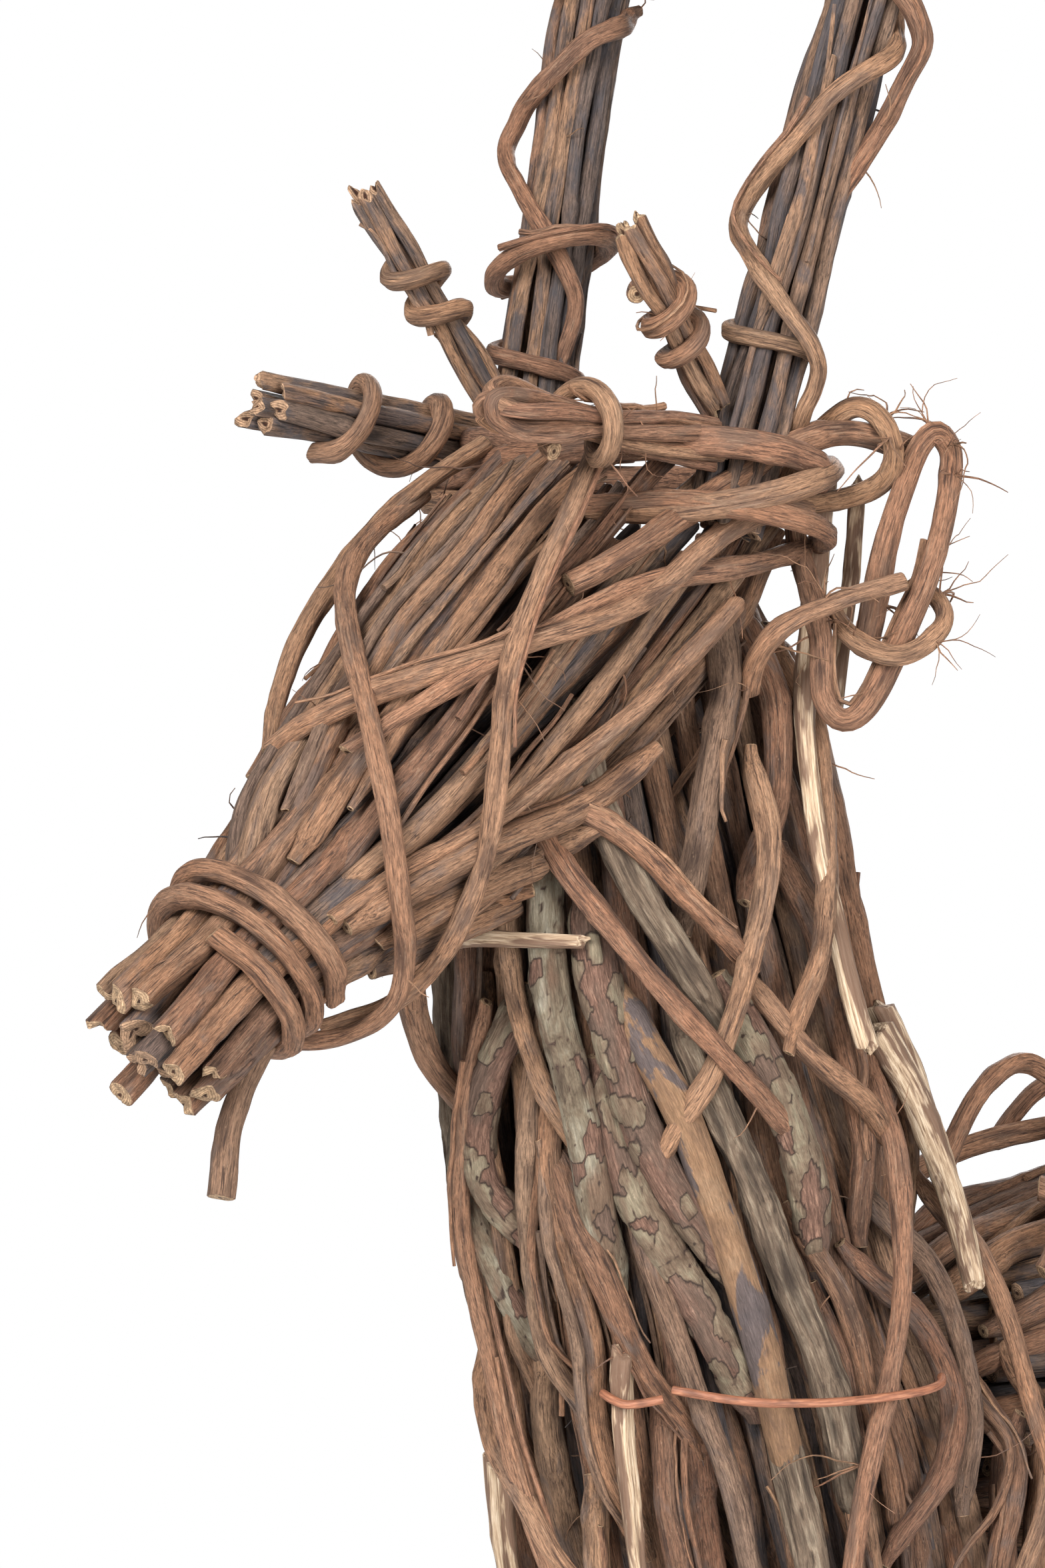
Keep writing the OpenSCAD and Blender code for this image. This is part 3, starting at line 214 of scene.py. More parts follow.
def noise(rng, s, cell, angle=None, cells_round=1):
    """Smooth noise from -1 to 1.

    cell is its length along the stick and cells_round how many cells go round it.
    """
    v = s / cell
    low = np.floor(v).astype(int)
    grid = rng.uniform(-1, 1, (low.max() + 2, cells_round))
    fv = ease(v - low)
    if angle is None:
        return grid[low, 0] * (1 - fv) + grid[low + 1, 0] * fv
    u = angle / TAU * cells_round
    left = np.floor(u).astype(int)
    fu = ease(u - left)[None, :]
    a, b = left % cells_round, (left + 1) % cells_round
    fv = fv[:, None]
    low = low[:, None]
    near = grid[low, a[None, :]] * (1 - fu) + grid[low, b[None, :]] * fu
    far = grid[low + 1, a[None, :]] * (1 - fu) + grid[low + 1, b[None, :]] * fu
    return near * (1 - fv) + far * fv


def wander(rng, centre, side, up, s, reach, cell):
    """The curve with small sideways drifts of up to reach."""
    sideways = noise(rng, s, cell) * reach
    upwards = noise(rng, s, cell) * reach
    return centre + side * sideways[:, None] + up * upwards[:, None]


# ---------------------------------------------------------------- mesh collecting

SHARP_ANGLE = math.radians(55)  # faces that meet at more than this keep a crisp edge


class Growth:
    """Points, faces and surface attributes of everything that makes up one piece."""

    def __init__(self, name):
        self.name = name
        self.rng = np.random.default_rng(zlib.crc32(name.encode()))
        self.points, self.grain, self.tone, self.quads, self.tris = [], [], [], [], []
        self.count = 0

    def tube(self, points, grain, tone):
        """A closed tube from a grid of rings, with hub points that close its ends.

        grain and tone go with each point.
        """
        points = np.concatenate([points[..., :2], np.maximum(points[..., 2:], 0)], axis=-1)
        rings, sides = points.shape[:2]
        first = self.count
        i = np.arange(rings - 1)[:, None] * sides + first
        k = np.arange(sides)[None, :]
        after = (k + 1) % sides
        quads = np.stack([i + k, i + after, i + sides + after, i + sides + k], axis=-1)
        self.quads.append(quads.reshape(-1, 4))
        start_hub = first + rings * sides
        end_hub = start_hub + 1
        last = first + (rings - 1) * sides
        k = np.arange(sides)
        after = (k + 1) % sides
        self.tris.append(np.stack([np.full(sides, start_hub), first + after, first + k], axis=-1))
        self.tris.append(np.stack([np.full(sides, end_hub), last + k, last + after], axis=-1))
        for store, values in ((self.points, points), (self.grain, grain), (self.tone, tone)):
            store.append(values.reshape(-1, 3))
            store.append(np.stack([values[0].mean(axis=0), values[-1].mean(axis=0)]))
        self.count += rings * sides + 2

    def finish(self, slot, *nodes):
        """Makes the object, which stands for the CAD nodes and rides on the one body."""
        mesh = bpy.data.meshes.new(self.name)
        points = np.concatenate(self.points)
        quads = np.concatenate(self.quads)
        tris = np.concatenate(self.tris)
        corners = np.concatenate([quads.ravel(), tris.ravel()])
        starts = np.concatenate([np.arange(len(quads)) * 4, len(quads) * 4 + np.arange(len(tris)) * 3])
        mesh.vertices.add(len(points))
        mesh.vertices.foreach_set("co", points.astype(np.float32).ravel())
        mesh.loops.add(len(corners))
        mesh.loops.foreach_set("vertex_index", corners.astype(np.int32))
        mesh.polygons.add(len(starts))
        mesh.polygons.foreach_set("loop_start", starts.astype(np.int32))
        mesh.update(calc_edges=True)
        mesh.validate()
        for label, store in (("grain", self.grain), ("tone", self.tone)):
            attribute = mesh.attributes.new(label, "FLOAT_VECTOR", "POINT")
            attribute.data.foreach_set("vector", np.concatenate(store).astype(np.float32).ravel())
        mesh.shade_smooth()
        mesh.set_sharp_from_angle(angle=SHARP_ANGLE)
        obj = bpy.data.objects.new(self.name, mesh)
        bpy.context.scene.collection.objects.link(obj)
        mesh.materials.append(MATERIALS[slot])
        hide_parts(*nodes)
        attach(obj, "root")
        return obj


# ---------------------------------------------------------------- sticks, rootlets and stragglers

# What a kind of stick looks like:
# drift: sideways wander as a share of its radius, flute: how far from round,
# ridge: depth of the bark's furrows, furrows: how many go round it, lumps: slow swelling,
# knot_gap: metres between knots, knot: their height, end: how its ends are cut, slant: how far askew,
# tuck: how far a tapered end dips under its neighbours, rootlets: fine roots per metre,
# tufts: clumps of them per metre, stragglers: thin twigs beside it per metre, fillers: thicker ones,
# scales: depth of flaking bark, bare: the share of it that has fallen.
VINE = dict(drift=0.24, flute=0.13, ridge=0.125, furrows=9, lumps=0.10, knot_gap=0.050, knot=0.22,
            end="cut", slant=0.45, tuck=0, rootlets=8, tufts=0.8, stragglers=1.5, fillers=0, scales=0,
            bare=0)
TWIG = dict(VINE, drift=0.28, ridge=0.110, furrows=8, lumps=0.09, knot_gap=0.045, knot=0.28, rootlets=3,
            tufts=0.2, stragglers=2.0)
TUCKED_TWIG = dict(TWIG, end="taper", tuck=8 * MM, fillers=3.5, stragglers=6.0, rootlets=6, tufts=0.8)
TUCKED_VINE = dict(VINE, end="taper", tuck=7 * MM, stragglers=4.0)
EAR = dict(VINE, rootlets=34, tufts=14, stragglers=4.0)
CHEEK = dict(TUCKED_TWIG, drift=0.45, tuck=4 * MM, fillers=7, stragglers=10, rootlets=14, tufts=4)
LEG = dict(TWIG, slant=0, drift=0.20)
MUZZLE = dict(TWIG, ridge=0.12, end="torn", stragglers=2.5, fillers=0.8)
ANTLER = dict(TWIG, drift=0.55, stragglers=2.0, rootlets=1.5, fillers=0.8)
SMOOTH = dict(TWIG, drift=0.30, flute=0.14, ridge=0.080, furrows=6, knot_gap=0.035, rootlets=1.5,
              stragglers=2.5, fillers=2.5, end="taper", tuck=8 * MM)
SPLIT = dict(TWIG, drift=0.15, flute=0.28, ridge=0.15, furrows=6, lumps=0.10, knot_gap=0.2, knot=0.1,
             end="torn", rootlets=0, tufts=0, stragglers=2.5)
HIDDEN = dict(TWIG, rootlets=0, tufts=0, stragglers=0)
WIRE = dict(TWIG, drift=0, flute=0, ridge=0, lumps=0, knot=0, slant=0, rootlets=0, tufts=0, stragglers=0)

# The four looks of the thick branches. The place of each in this list sets its colours in scale_bark.
BRANCH = dict(TWIG, drift=0.12, flute=0.12, furrows=12, lumps=0.07, knot_gap=0.06, knot=0.22, end="taper",
              tuck=7 * MM, rootlets=1.5, stragglers=1.0)
CRUSTED = dict(BRANCH, ridge=0.07, scales=0.7 * MM, bare=0.10)
FLAKING = dict(BRANCH, ridge=0.03, scales=1.0 * MM, bare=0.52)
MOTTLED = dict(BRANCH, ridge=0.03, flute=0.08, knot=0.12)
FURROWED = dict(BRANCH, ridge=0.17, furrows=11)
BRANCH_LOOKS = [CRUSTED, FLAKING, MOTTLED, FURROWED]
BRANCH_ORDER = [CRUSTED, FLAKING, FLAKING, MOTTLED, FURROWED, FLAKING, FLAKING, CRUSTED, FURROWED, FURROWED,
                FURROWED, CRUSTED, FURROWED]

BEVEL = 0.4 * MM     # how far the bark's edge stands back from a cut end
ROOTLET_R = 0.34 * MM
ROOT_REACH = 5 * MM  # how far a fine root may stand out of the CAD model's box
PLATE_NARROWING = 1.3  # how much narrower than long the plates of flaking bark are

# How far along a stick each kind of unevenness takes to change.
DRIFT_CELL = 34 * MM
LUMP_CELL = 22 * MM
FLUTE_CELL = 70 * MM
FURROW_CELL = 17 * MM
FURROW_DRIFT_CELL = 45 * MM
ROUGH_CELL = 4 * MM

TAPER_RUN = 11 * MM  # over how much of its length a tapered end thins
TUCK_RUN = 34 * MM   # and dips under its neighbours
CUT_INNER = 0.45     # the cut face's inner ring and its rim, as shares of the stick's radius
CUT_RIM = 0.88


def knots(rng, s, angle, gap, height):
    """Buds and branch scars: short one-sided swellings at uneven distances."""
    rise = np.zeros((len(s), len(angle)))
    at = gap * rng.uniform(0.2, 1.0)
    while at < s[-1] - 4 * MM:
        facing = rng.uniform(0, TAU)
        long = rng.uniform(2.0, 4.5) * MM
        tall = height * rng.uniform(0.35, 1.0)
        bump = np.exp(-((s - at) / long) ** 2)
        lobe = 0.25 + 0.75 * np.clip(np.cos(angle - facing), 0, 1) ** 2
        rise += tall * bump[:, None] * lobe[None, :]
        at += gap * rng.uniform(0.5, 1.6)
    return rise


def scaly(rng, s, angle, radius, depth, bare):
    """Bark that flakes: plates of uneven height with cracks between them.

    Gives the height and 1 where a plate is left.
    """
    round_cells = 6
    cell = 7 * MM
    pitch = TAU * radius / round_cells
    squeeze = cell / pitch
    warp = noise(rng, s, 3 * MM, angle, 12) * 0.22 * cell
    length = s[:, None] + warp + cell
    around = (angle / TAU * round_cells)[None, :] * cell + noise(rng, s, 4 * MM, angle, 10) * 0.18 * cell
    rows = int(length.max() / cell) + 2
    jitter = rng.uniform(0.1, 0.9, (rows + 2, round_cells, 2))
    plates = rng.uniform(0, 1, (rows + 2, round_cells))
    row = np.floor(length / cell).astype(int)
    column = np.floor(around / cell).astype(int)
    near = np.full(length.shape, 9.0)
    second = np.full(length.shape, 9.0)
    plate = np.zeros(length.shape)
    for dr in (-1, 0, 1):
        for dc in (-1, 0, 1):
            r = np.clip(row + dr, 0, rows + 1)
            c = column + dc
            w = c % round_cells
            ahead = (r + jitter[r, w, 0]) * cell - length
            aside = (c + jitter[r, w, 1]) * cell - around
            away = np.hypot(ahead, aside / squeeze * PLATE_NARROWING)
            closer = away < near
            second = np.where(closer, near, np.minimum(second, away))
            plate = np.where(closer, plates[r, w], plate)
            near = np.where(closer, away, near)
    crack = np.exp(-(second - near) / (0.7 * MM))
    left = (plate > bare).astype(float)
    return depth * (left * (0.4 + 0.6 * plate) - 0.45 * crack * left), left * (1 - 0.8 * crack)


def tapered(s, reach):
    """1 along a stick, falling to 0 at its two ends over the given distance."""
    inward = np.minimum(s, s[-1] - s)
    return ease(np.clip(inward / reach, 0, 1))


def around_rim(rng, angle, lobes):
    """Smooth noise from -1 to 1 round a stick's end."""
    return noise(rng, np.zeros(1), 1.0, angle, lobes)[0]


def lengthened(points, radii, reach=15 * MM):
    """A stick made longer at both ends, for ends that slip under their neighbours."""
    before = points[0] + unit(points[0] - points[1]) * reach
    after = points[-1] + unit(points[-1] - points[-2]) * reach
    return np.vstack([before, points, after]), np.concatenate([radii[:1], radii, radii[-1:]])


def toward(core, centre):
    """At each point of a stick, the way straight in to the line that runs through the limb's middle."""
    a, b = np.array(core[0]), np.array(core[1])
    way = unit(b - a)
    off = a + np.outer((centre - a) @ way, way) - centre
    return off / np.maximum(np.linalg.norm(off, axis=1, keepdims=True), 1e-9)


def fluted(rng, s, angle, kind):
    """How far from round the stick is at each point, as a factor of its radius."""
    shape = np.ones((len(s), len(angle)))
    for lobes in (2, 3, 4, 5):
        size = kind["flute"] * rng.uniform(0.3, 1.0) / lobes**0.7
        drift = rng.uniform(0, TAU) + 1.6 * noise(rng, s, FLUTE_CELL)
        shape = shape + size * np.cos(lobes * angle[None, :] + drift[:, None])
    return shape


def furrowed_bark(rng, s, angle, kind):
    """The bark's ridges and furrows: their rise as a share of the radius, and the crests from -1 to 1."""
    drift = 0.9 * noise(rng, s, FURROW_DRIFT_CELL)
    furrow = noise(rng, s, FURROW_CELL, angle, kind["furrows"])
    rough = noise(rng, s, ROUGH_CELL, angle, max(6, len(angle) // 2))
    crest = 0.75 * (1 - 2 * np.abs(furrow)) + 0.25 * rough
    return kind["ridge"] * (crest - 0.3) * (1 + 0.4 * drift[:, None]), crest


def end_shift(rng, s, angle, kind, out, step):
    """How far each point near an end moves along the stick, for slanting and torn ends."""
    shift = np.zeros((len(s), len(angle)))
    near_end = np.clip(1 - s / (4 * step), 0, 1)[:, None]
    for end, weight in ((0, near_end), (-1, near_end[::-1])):
        slant = rng.uniform(0, kind["slant"]) * np.cos(angle - rng.uniform(0, TAU)) * out[end]
        if kind["end"] == "torn":
            slant = slant + around_rim(rng, angle, 7) * 1.7 * MM + around_rim(rng, angle, 3) * 1.8 * MM
        shift = shift + weight * slant[None, :]
    return shift


def grow(piece, points, radii, kind, sides, step, core=None, seed=None):
    """One stick with bark, knots and cut ends along the given curve."""
    rng = piece.rng
    if kind["end"] == "taper" and core is not None:
        points, radii = lengthened(points, radii)
    centre, radius, s = along(points, radii, step)
    way, side, up = carried_frames(centre)
    mean_r = radius.mean()
    if kind["drift"]:
        centre = wander(rng, centre, side, up, s, kind["drift"] * mean_r, DRIFT_CELL)
    body = tapered(s, min(TAPER_RUN, s[-1] * 0.3))
    if kind["tuck"] and core is not None:
        deep = kind["tuck"] * (1 - tapered(s, min(TUCK_RUN, s[-1] * 0.4)))
        centre = centre + toward(core, centre) * deep[:, None]
    way, side, up = carried_frames(centre)

    angle = np.arange(sides) / sides * TAU
    swell = 1 + kind["lumps"] * noise(rng, s, LUMP_CELL)
    if kind["end"] == "taper":
        swell = swell * (0.6 + 0.4 * body)
    shape = fluted(rng, s, angle, kind)
    rise = np.zeros((len(s), sides))
    crest = np.zeros((len(s), sides))
    if kind["ridge"]:
        rise, crest = furrowed_bark(rng, s, angle, kind)
    if kind["knot"]:
        rise = rise + knots(rng, s, angle, kind["knot_gap"], kind["knot"])
    out = radius[:, None] * swell[:, None] * (shape + rise)
    height = 0.5 + 0.5 * np.clip(crest, -1, 1)
    if kind["scales"]:
        lift, left = scaly(rng, s, angle, mean_r, kind["scales"], kind["bare"])
        out = out + lift * body[:, None]
        height = left
    if seed is None:
        seed = rng.uniform(0, 1)
    shift = end_shift(rng, s, angle, kind, out, step)

    # Two more rings at each end: a narrow one inside the cut face and one just inside the bark's edge.
    pick = np.concatenate([[0, 0], np.arange(len(s)), [-1, -1]]) % len(s)
    face = np.ones(len(pick))
    face[[0, -1]] = CUT_INNER
    face[[1, -2]] = CUT_RIM
    stand = np.zeros(len(pick))
    stand[[0, 1]] = -BEVEL
    stand[[-1, -2]] = BEVEL
    cut = np.zeros(len(pick))
    cut[[0, 1, -1, -2]] = 1
    out = out[pick] * face[:, None]
    shift = shift[pick] + stand[:, None]
    if kind["end"] == "torn":
        for end in (0, -1):
            shift[end] += around_rim(rng, angle, 4) * 1.5 * MM
    across = out[..., None] * (np.cos(angle)[None, :, None] * side[pick][:, None, :]
                               + np.sin(angle)[None, :, None] * up[pick][:, None, :])
    spots = centre[pick][:, None, :] + across + shift[..., None] * way[pick][:, None, :]
    run = s[pick][:, None] + shift + seed * 3.0 + rng.uniform(0, 1)
    grain = np.stack([out * np.cos(angle), out * np.sin(angle), run], axis=-1)
    own_seed = np.full(out.shape, seed)
    tone = np.stack([own_seed, np.broadcast_to(cut[:, None], out.shape), height[pick]], axis=-1)
    piece.tube(spots, grain, tone)
    return centre, radius, s, side, up


def rootlet(piece, start, out, way, length, radius):
    """A fine root that leaves a vine and curls away from it."""
    rng = piece.rng
    count = max(5, int(length / (3.5 * MM)))
    spots = [start]
    heading = unit(out + way * rng.uniform(-1.2, 1.2) + rng.normal(0, 0.35, 3))
    bend = rng.normal(0, 0.35, 3)
    for _ in range(count):
        heading = unit(heading + bend * 0.5 + rng.normal(0, 0.22, 3) + np.array([0, 0, -0.05]))
        spots.append(spots[-1] + heading * length / count)
    spots = np.array(spots)
    beyond = max((np.array(cad_box[0]) - spots).max(), (spots - np.array(cad_box[1])).max())
    if beyond < ROOT_REACH:
        thin_tube(piece, spots, np.linspace(radius, radius * 0.35, len(spots)), 4, 2.5 * MM)


def thin_tube(piece, points, radii, sides, step):
    """A plain fine strand without knots."""
    centre, radius, s = along(points, radii, step)
    way, side, up = carried_frames(centre)
    angle = np.arange(sides) / sides * TAU
    out = np.broadcast_to(radius[:, None], (len(s), sides))
    across = out[..., None] * (np.cos(angle)[None, :, None] * side[:, None, :]
                               + np.sin(angle)[None, :, None] * up[:, None, :])
    seed = piece.rng.uniform(0, 1)
    run = np.broadcast_to(s[:, None] + seed, out.shape)
    grain = np.stack([out * np.cos(angle), out * np.sin(angle), run], axis=-1)
    tone = np.stack([np.full(out.shape, seed), np.zeros(out.shape), np.full(out.shape, 0.6)], axis=-1)
    piece.tube(centre[:, None, :] + across, grain, tone)


def beside(piece, grown, share, own_r, loose):
    """A path and radii that run beside a stick for a share of its length and drift round it."""
    centre, radius, _, side, up = grown
    rng = piece.rng
    total = len(centre)
    low = rng.uniform(0.02, 0.98 - share)
    pick = np.unique(np.linspace(low * total, (low + share) * total - 1, 8).astype(int))
    turn = rng.uniform(0, TAU) + np.linspace(0, rng.uniform(-1.2, 1.2), len(pick))
    reach = radius[pick] + own_r * rng.uniform(0.2, 1.0) + np.abs(rng.normal(0, loose, len(pick)))
    reach[0] += loose * rng.uniform(0, 5)
    reach[-1] += loose * rng.uniform(0, 6)
    off = np.cos(turn)[:, None] * side[pick] + np.sin(turn)[:, None] * up[pick]
    return centre[pick] + reach[:, None] * off, np.linspace(own_r, own_r * 0.55, len(pick))


def dress(piece, grown, kind, core):
    """Thin twigs beside a stick, and the fine roots that stand off it."""
    centre, radius, s, side, up = grown
    rng = piece.rng
    for _ in range(rng.poisson(kind["fillers"] * s[-1])):
        spots, radii = beside(piece, grown, rng.uniform(0.35, 0.8), rng.uniform(1.5, 2.8) * MM, 0.4 * MM)
        if len(spots) > 3:
            grow(piece, spots, radii, dict(kind, end="taper", knot_gap=0.03), 10, 2.6 * MM, core)
    for _ in range(rng.poisson(kind["stragglers"] * s[-1])):
        spots, radii = beside(piece, grown, rng.uniform(0.2, 0.7), rng.uniform(0.45, 1.3) * MM, 0.5 * MM)
        if len(spots) > 3:
            thin_tube(piece, spots, radii, 6, 4 * MM)
    clumps = [1] * rng.poisson(kind["rootlets"] * s[-1]) + [5] * rng.poisson(kind["tufts"] * s[-1])
    for hairs in clumps:
        i = rng.integers(1, len(s) - 1)
        turn = rng.uniform(0, TAU)
        for _ in range(hairs):
            own_turn = turn + rng.normal(0, 0.25)
            out = side[i] * math.cos(own_turn) + up[i] * math.sin(own_turn)
            length = min(rng.gamma(2.0, 5.0) + 1.5 * (hairs - 1), 30) * MM + 3 * MM
            rootlet(piece, centre[i] + out * radius[i] * 0.9, out, centre[i + 1] - centre[i - 1], length,
                    ROOTLET_R * rng.uniform(0.6, 1.3))


def packed(sticks, line, spread, turn, skipped):
    """The same sticks again, moved out from a line by a factor and turned round it.

    skipped is the share of each stick's start that is left off.
    """
    a, b = np.array(line[0]), np.array(line[1])
    way = unit(b - a)
    again = []
    for points, radii in sticks:
        if (points[-1] - points[0]) @ way < 0:
            points = points[::-1]
        skip = int(len(points) * skipped)
        points = points[skip:]
        off = points - a
        off = off - np.outer(off @ way, way)
        turned = off * math.cos(turn) + np.cross(way, off) * math.sin(turn)
        again.append((points - off + turned * spread, radii[skip:] * 0.9))
    return again


def middle_line(node):
    """The line through the middle of a bundle, from one end to the other."""
    runs = [points[[0, -1]] for points, _ in sticks_of(node)]
    runs = [run if (run[0] - run[1]) @ (runs[0][0] - runs[0][1]) > 0 else run[::-1] for run in runs]
    return np.mean(runs, axis=0)


def sticks_piece(node, slot, kind, sides, step, core=None, kinds=None, packing=(), tight=0):
    """The detailed piece that stands for a CAD node of sticks.

    core is the line inside the limb, kinds gives each stick a look of its own, packing repeats the
    sticks to close gaps and tight draws them in towards the core.
    """
    piece = Growth(node + "_grown")
    sticks = sticks_of(node)
    extra = [stick for move in packing for stick in packed(sticks, core, *move)]
    for i, (points, radii) in enumerate(sticks + extra):
        own = kind
        seed = None
        if kinds:
            own = kinds[i % len(kinds)]
            seed = (BRANCH_LOOKS.index(own) + piece.rng.uniform(0.05, 0.95)) / len(BRANCH_LOOKS)
        if tight:
            points = points + toward(core, points) * tight
        dress(piece, grow(piece, points, radii, own, sides, step, core, seed), own, core)
    return piece.finish(slot, node)


FOLD_REACH = 8 * MM  # how far the bend of a folded vine stands out past its strands
FOLD_SLACK = 3 * MM  # and how much less a loose one does


def bound_piece(node, root_node, slot, kind, sides, step, waist, twist, folded):
    """A tine of twisted strands drawn in at its waist.

    In a folded one each pair of strands is one vine, bent at the tip.
    """
    piece = Growth(node + "_bound")
    low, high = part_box(root_node)
    root = np.array((low + high) / 2)
    runs = []
    for points, radii in sticks_of(node):
        if np.linalg.norm(points[0] - root) > np.linalg.norm(points[-1] - root):
            points = points[::-1]
        runs.append((points[0], points[-1], radii.mean()))
    start = np.mean([a for a, _, _ in runs], axis=0)
    stop = np.mean([b for _, b, _ in runs], axis=0)
    way = unit(stop - start)
    across = unit(np.cross(way, [0, 0, 1.0]))
    above = np.cross(across, way)

    def spot(run, share, spread=1.0):
        off = run[0] * (1 - share) + run[1] * share - (start * (1 - share) + stop * share)
        lift = off @ way
        angle = math.atan2(off @ above, off @ across) + twist * share
        drawn_in = 1 - 0.42 * math.exp(-((share - waist) / 0.17) ** 2)
        reach = np.linalg.norm(off - way * lift) * spread * drawn_in
        middle = start * (1 - share) + stop * share + way * lift
        return middle + reach * (across * math.cos(angle) + above * math.sin(angle))

    runs.sort(key=lambda run: math.atan2((run[1] - stop) @ above, (run[1] - stop) @ across))
    shares = [0.0, 0.2, 0.38, 0.55, 0.72, 0.88]
    half = len(runs) // 2
    if not folded:
        for run in runs:
            path = [spot(run, share, piece.rng.uniform(0.8, 1.15)) for share in shares + [1.0]]
            radii = np.full(len(path), run[2])
            dress(piece, grow(piece, np.array(path), radii, kind, sides, step), kind, None)
        return piece.finish(slot, node)
    for i in range(half + 4):
        a = runs[i % len(runs)]
        b = runs[(i + half) % len(runs)]
        loose = piece.rng.uniform(0.75, 1.25)
        path = [spot(a, share, loose * piece.rng.uniform(0.85, 1.15)) for share in shares]
        spread = (spot(a, 0.93, loose) - spot(b, 0.93, loose)) / 2
        middle = (spot(a, 0.93) + spot(b, 0.93)) / 2
        for swing in (0.3, 0.5, 0.7):
            turned = math.pi * swing
            ahead = FOLD_REACH * math.sin(turned) - FOLD_SLACK * loose
            path.append(middle + math.cos(turned) * spread + way * ahead)
        path += [spot(b, share, loose * piece.rng.uniform(0.85, 1.15)) for share in reversed(shares)]
        radii = np.full(len(path), a[2] * piece.rng.uniform(0.55, 0.80))
        dress(piece, grow(piece, np.array(path), radii, kind, sides, step), kind, None)
    return piece.finish(slot, node)


def lashing_piece(node, slot, kind, sides, step):
    """Lashings in place of closed rings: each group of rings becomes one vine wound round the leg."""
    piece = Growth(node + "_wound")
    turns = turns_of(node)
    per_lash = 3
    for i in range(0, len(turns), per_lash):
        group = turns[i:i + per_lash]
        low, high = group[0][0], group[-1][0]
        way = group[0][1]
        side = unit(np.cross(way, [0, 1.0, 0]))
        up = np.cross(way, side)
        start = piece.rng.uniform(0, TAU)
        count = 14 * per_lash
        spots = []
        for j in range(count + 1):
            share = j / count
            turn = start + share * TAU * (per_lash + 0.12)
            pitch = (high - low) * (share * (per_lash + 0.12) / (per_lash - 1) - 0.28)
            reach = group[0][2] + (group[-1][2] - group[0][2]) * share
            if j == 0 or j == count:
                reach -= group[0][3]
            spots.append(low + pitch + reach * (side * math.cos(turn) + up * math.sin(turn)))
        radii = np.full(len(spots), group[0][3])
        dress(piece, grow(piece, np.array(spots), radii, kind, sides, step), kind, None)
    return piece.finish(slot, node)


# ---------------------------------------------------------------- materials

class Nodes:
    """Short ways to add shader nodes to one material."""

    def __init__(self, name):
        self.material = bpy.data.materials.new(name)
        self.material.use_nodes = True
        self.tree = self.material.node_tree
        self.shader = self.tree.nodes["Principled BSDF"]

    def add(self, kind, **settings):
        made = self.tree.nodes.new(kind)
        for key, value in settings.items():
            setattr(made, key, value)
        return made

    def link(self, source, target):
        self.tree.links.new(source, target)

    def attribute(self, name):
        node = self.add("ShaderNodeAttribute", attribute_name=name, attribute_type="GEOMETRY")
        return node.outputs["Vector"]

    def scaled(self, vector, scale):
        made = self.add("ShaderNodeMapping")
        made.inputs["Scale"].default_value = scale
        self.link(vector, made.inputs["Vector"])
        return made.outputs["Vector"]

    def noise(self, vector, scale, detail=3.0, rough=0.6, warp=0.0):
        made = self.add("ShaderNodeTexNoise")
        made.inputs["Scale"].default_value = scale
        made.inputs["Detail"].default_value = detail
        made.inputs["Roughness"].default_value = rough
        made.inputs["Distortion"].default_value = warp
        self.link(vector, made.inputs["Vector"])
        return made.outputs["Fac"]

    def cells(self, vector, scale):
        made = self.add("ShaderNodeTexVoronoi", feature="F1")
        made.inputs["Scale"].default_value = scale
        self.link(vector, made.inputs["Vector"])
        return made.outputs["Distance"]

    def ramp(self, value, stops):
        """A colour ramp; stops are (place, colour) with colours as RGB or one grey number."""
        made = self.add("ShaderNodeValToRGB")
        line = made.color_ramp
        while len(line.elements) < len(stops):
            line.elements.new(0.5)
        for element, (place, colour) in zip(line.elements, stops):
            element.position = place
            rgb = colour if isinstance(colour, tuple) else (colour, colour, colour)
            element.color = (*rgb, 1)
        self.link(value, made.inputs["Fac"])
        return made.outputs["Color"]

    def mix(self, share, a, b, blend="MIX"):
        made = self.add("ShaderNodeMix", data_type="RGBA", blend_type=blend)
        for socket, value in ((made.inputs["Factor"], share), (made.inputs[6], a), (made.inputs[7], b)):
            if hasattr(value, "links"):
                self.link(value, socket)
            elif isinstance(value, tuple):
                socket.default_value = (*value, 1)
            else:
                socket.default_value = value
        return made.outputs[2]

    def maths(self, operation, a, b=None):
        made = self.add("ShaderNodeMath", operation=operation)
        for socket, value in ((made.inputs[0], a), (made.inputs[1], b)):
            if value is None:
                continue
            if hasattr(value, "links"):
                self.link(value, socket)
            else:
                socket.default_value = value
        return made.outputs[0]

    def surface(self, base, roughness, shine):
        self.link(base, self.shader.inputs["Base Color"])
        self.link(roughness, self.shader.inputs["Roughness"])
        self.shader.inputs["Specular IOR Level"].default_value = shine

    def bump(self, height, distance, strength):
        made = self.add("ShaderNodeBump")
        made.inputs["Distance"].default_value = distance
        made.inputs["Strength"].default_value = strength
        self.link(height, made.inputs["Height"])
        self.link(made.outputs["Normal"], self.shader.inputs["Normal"])


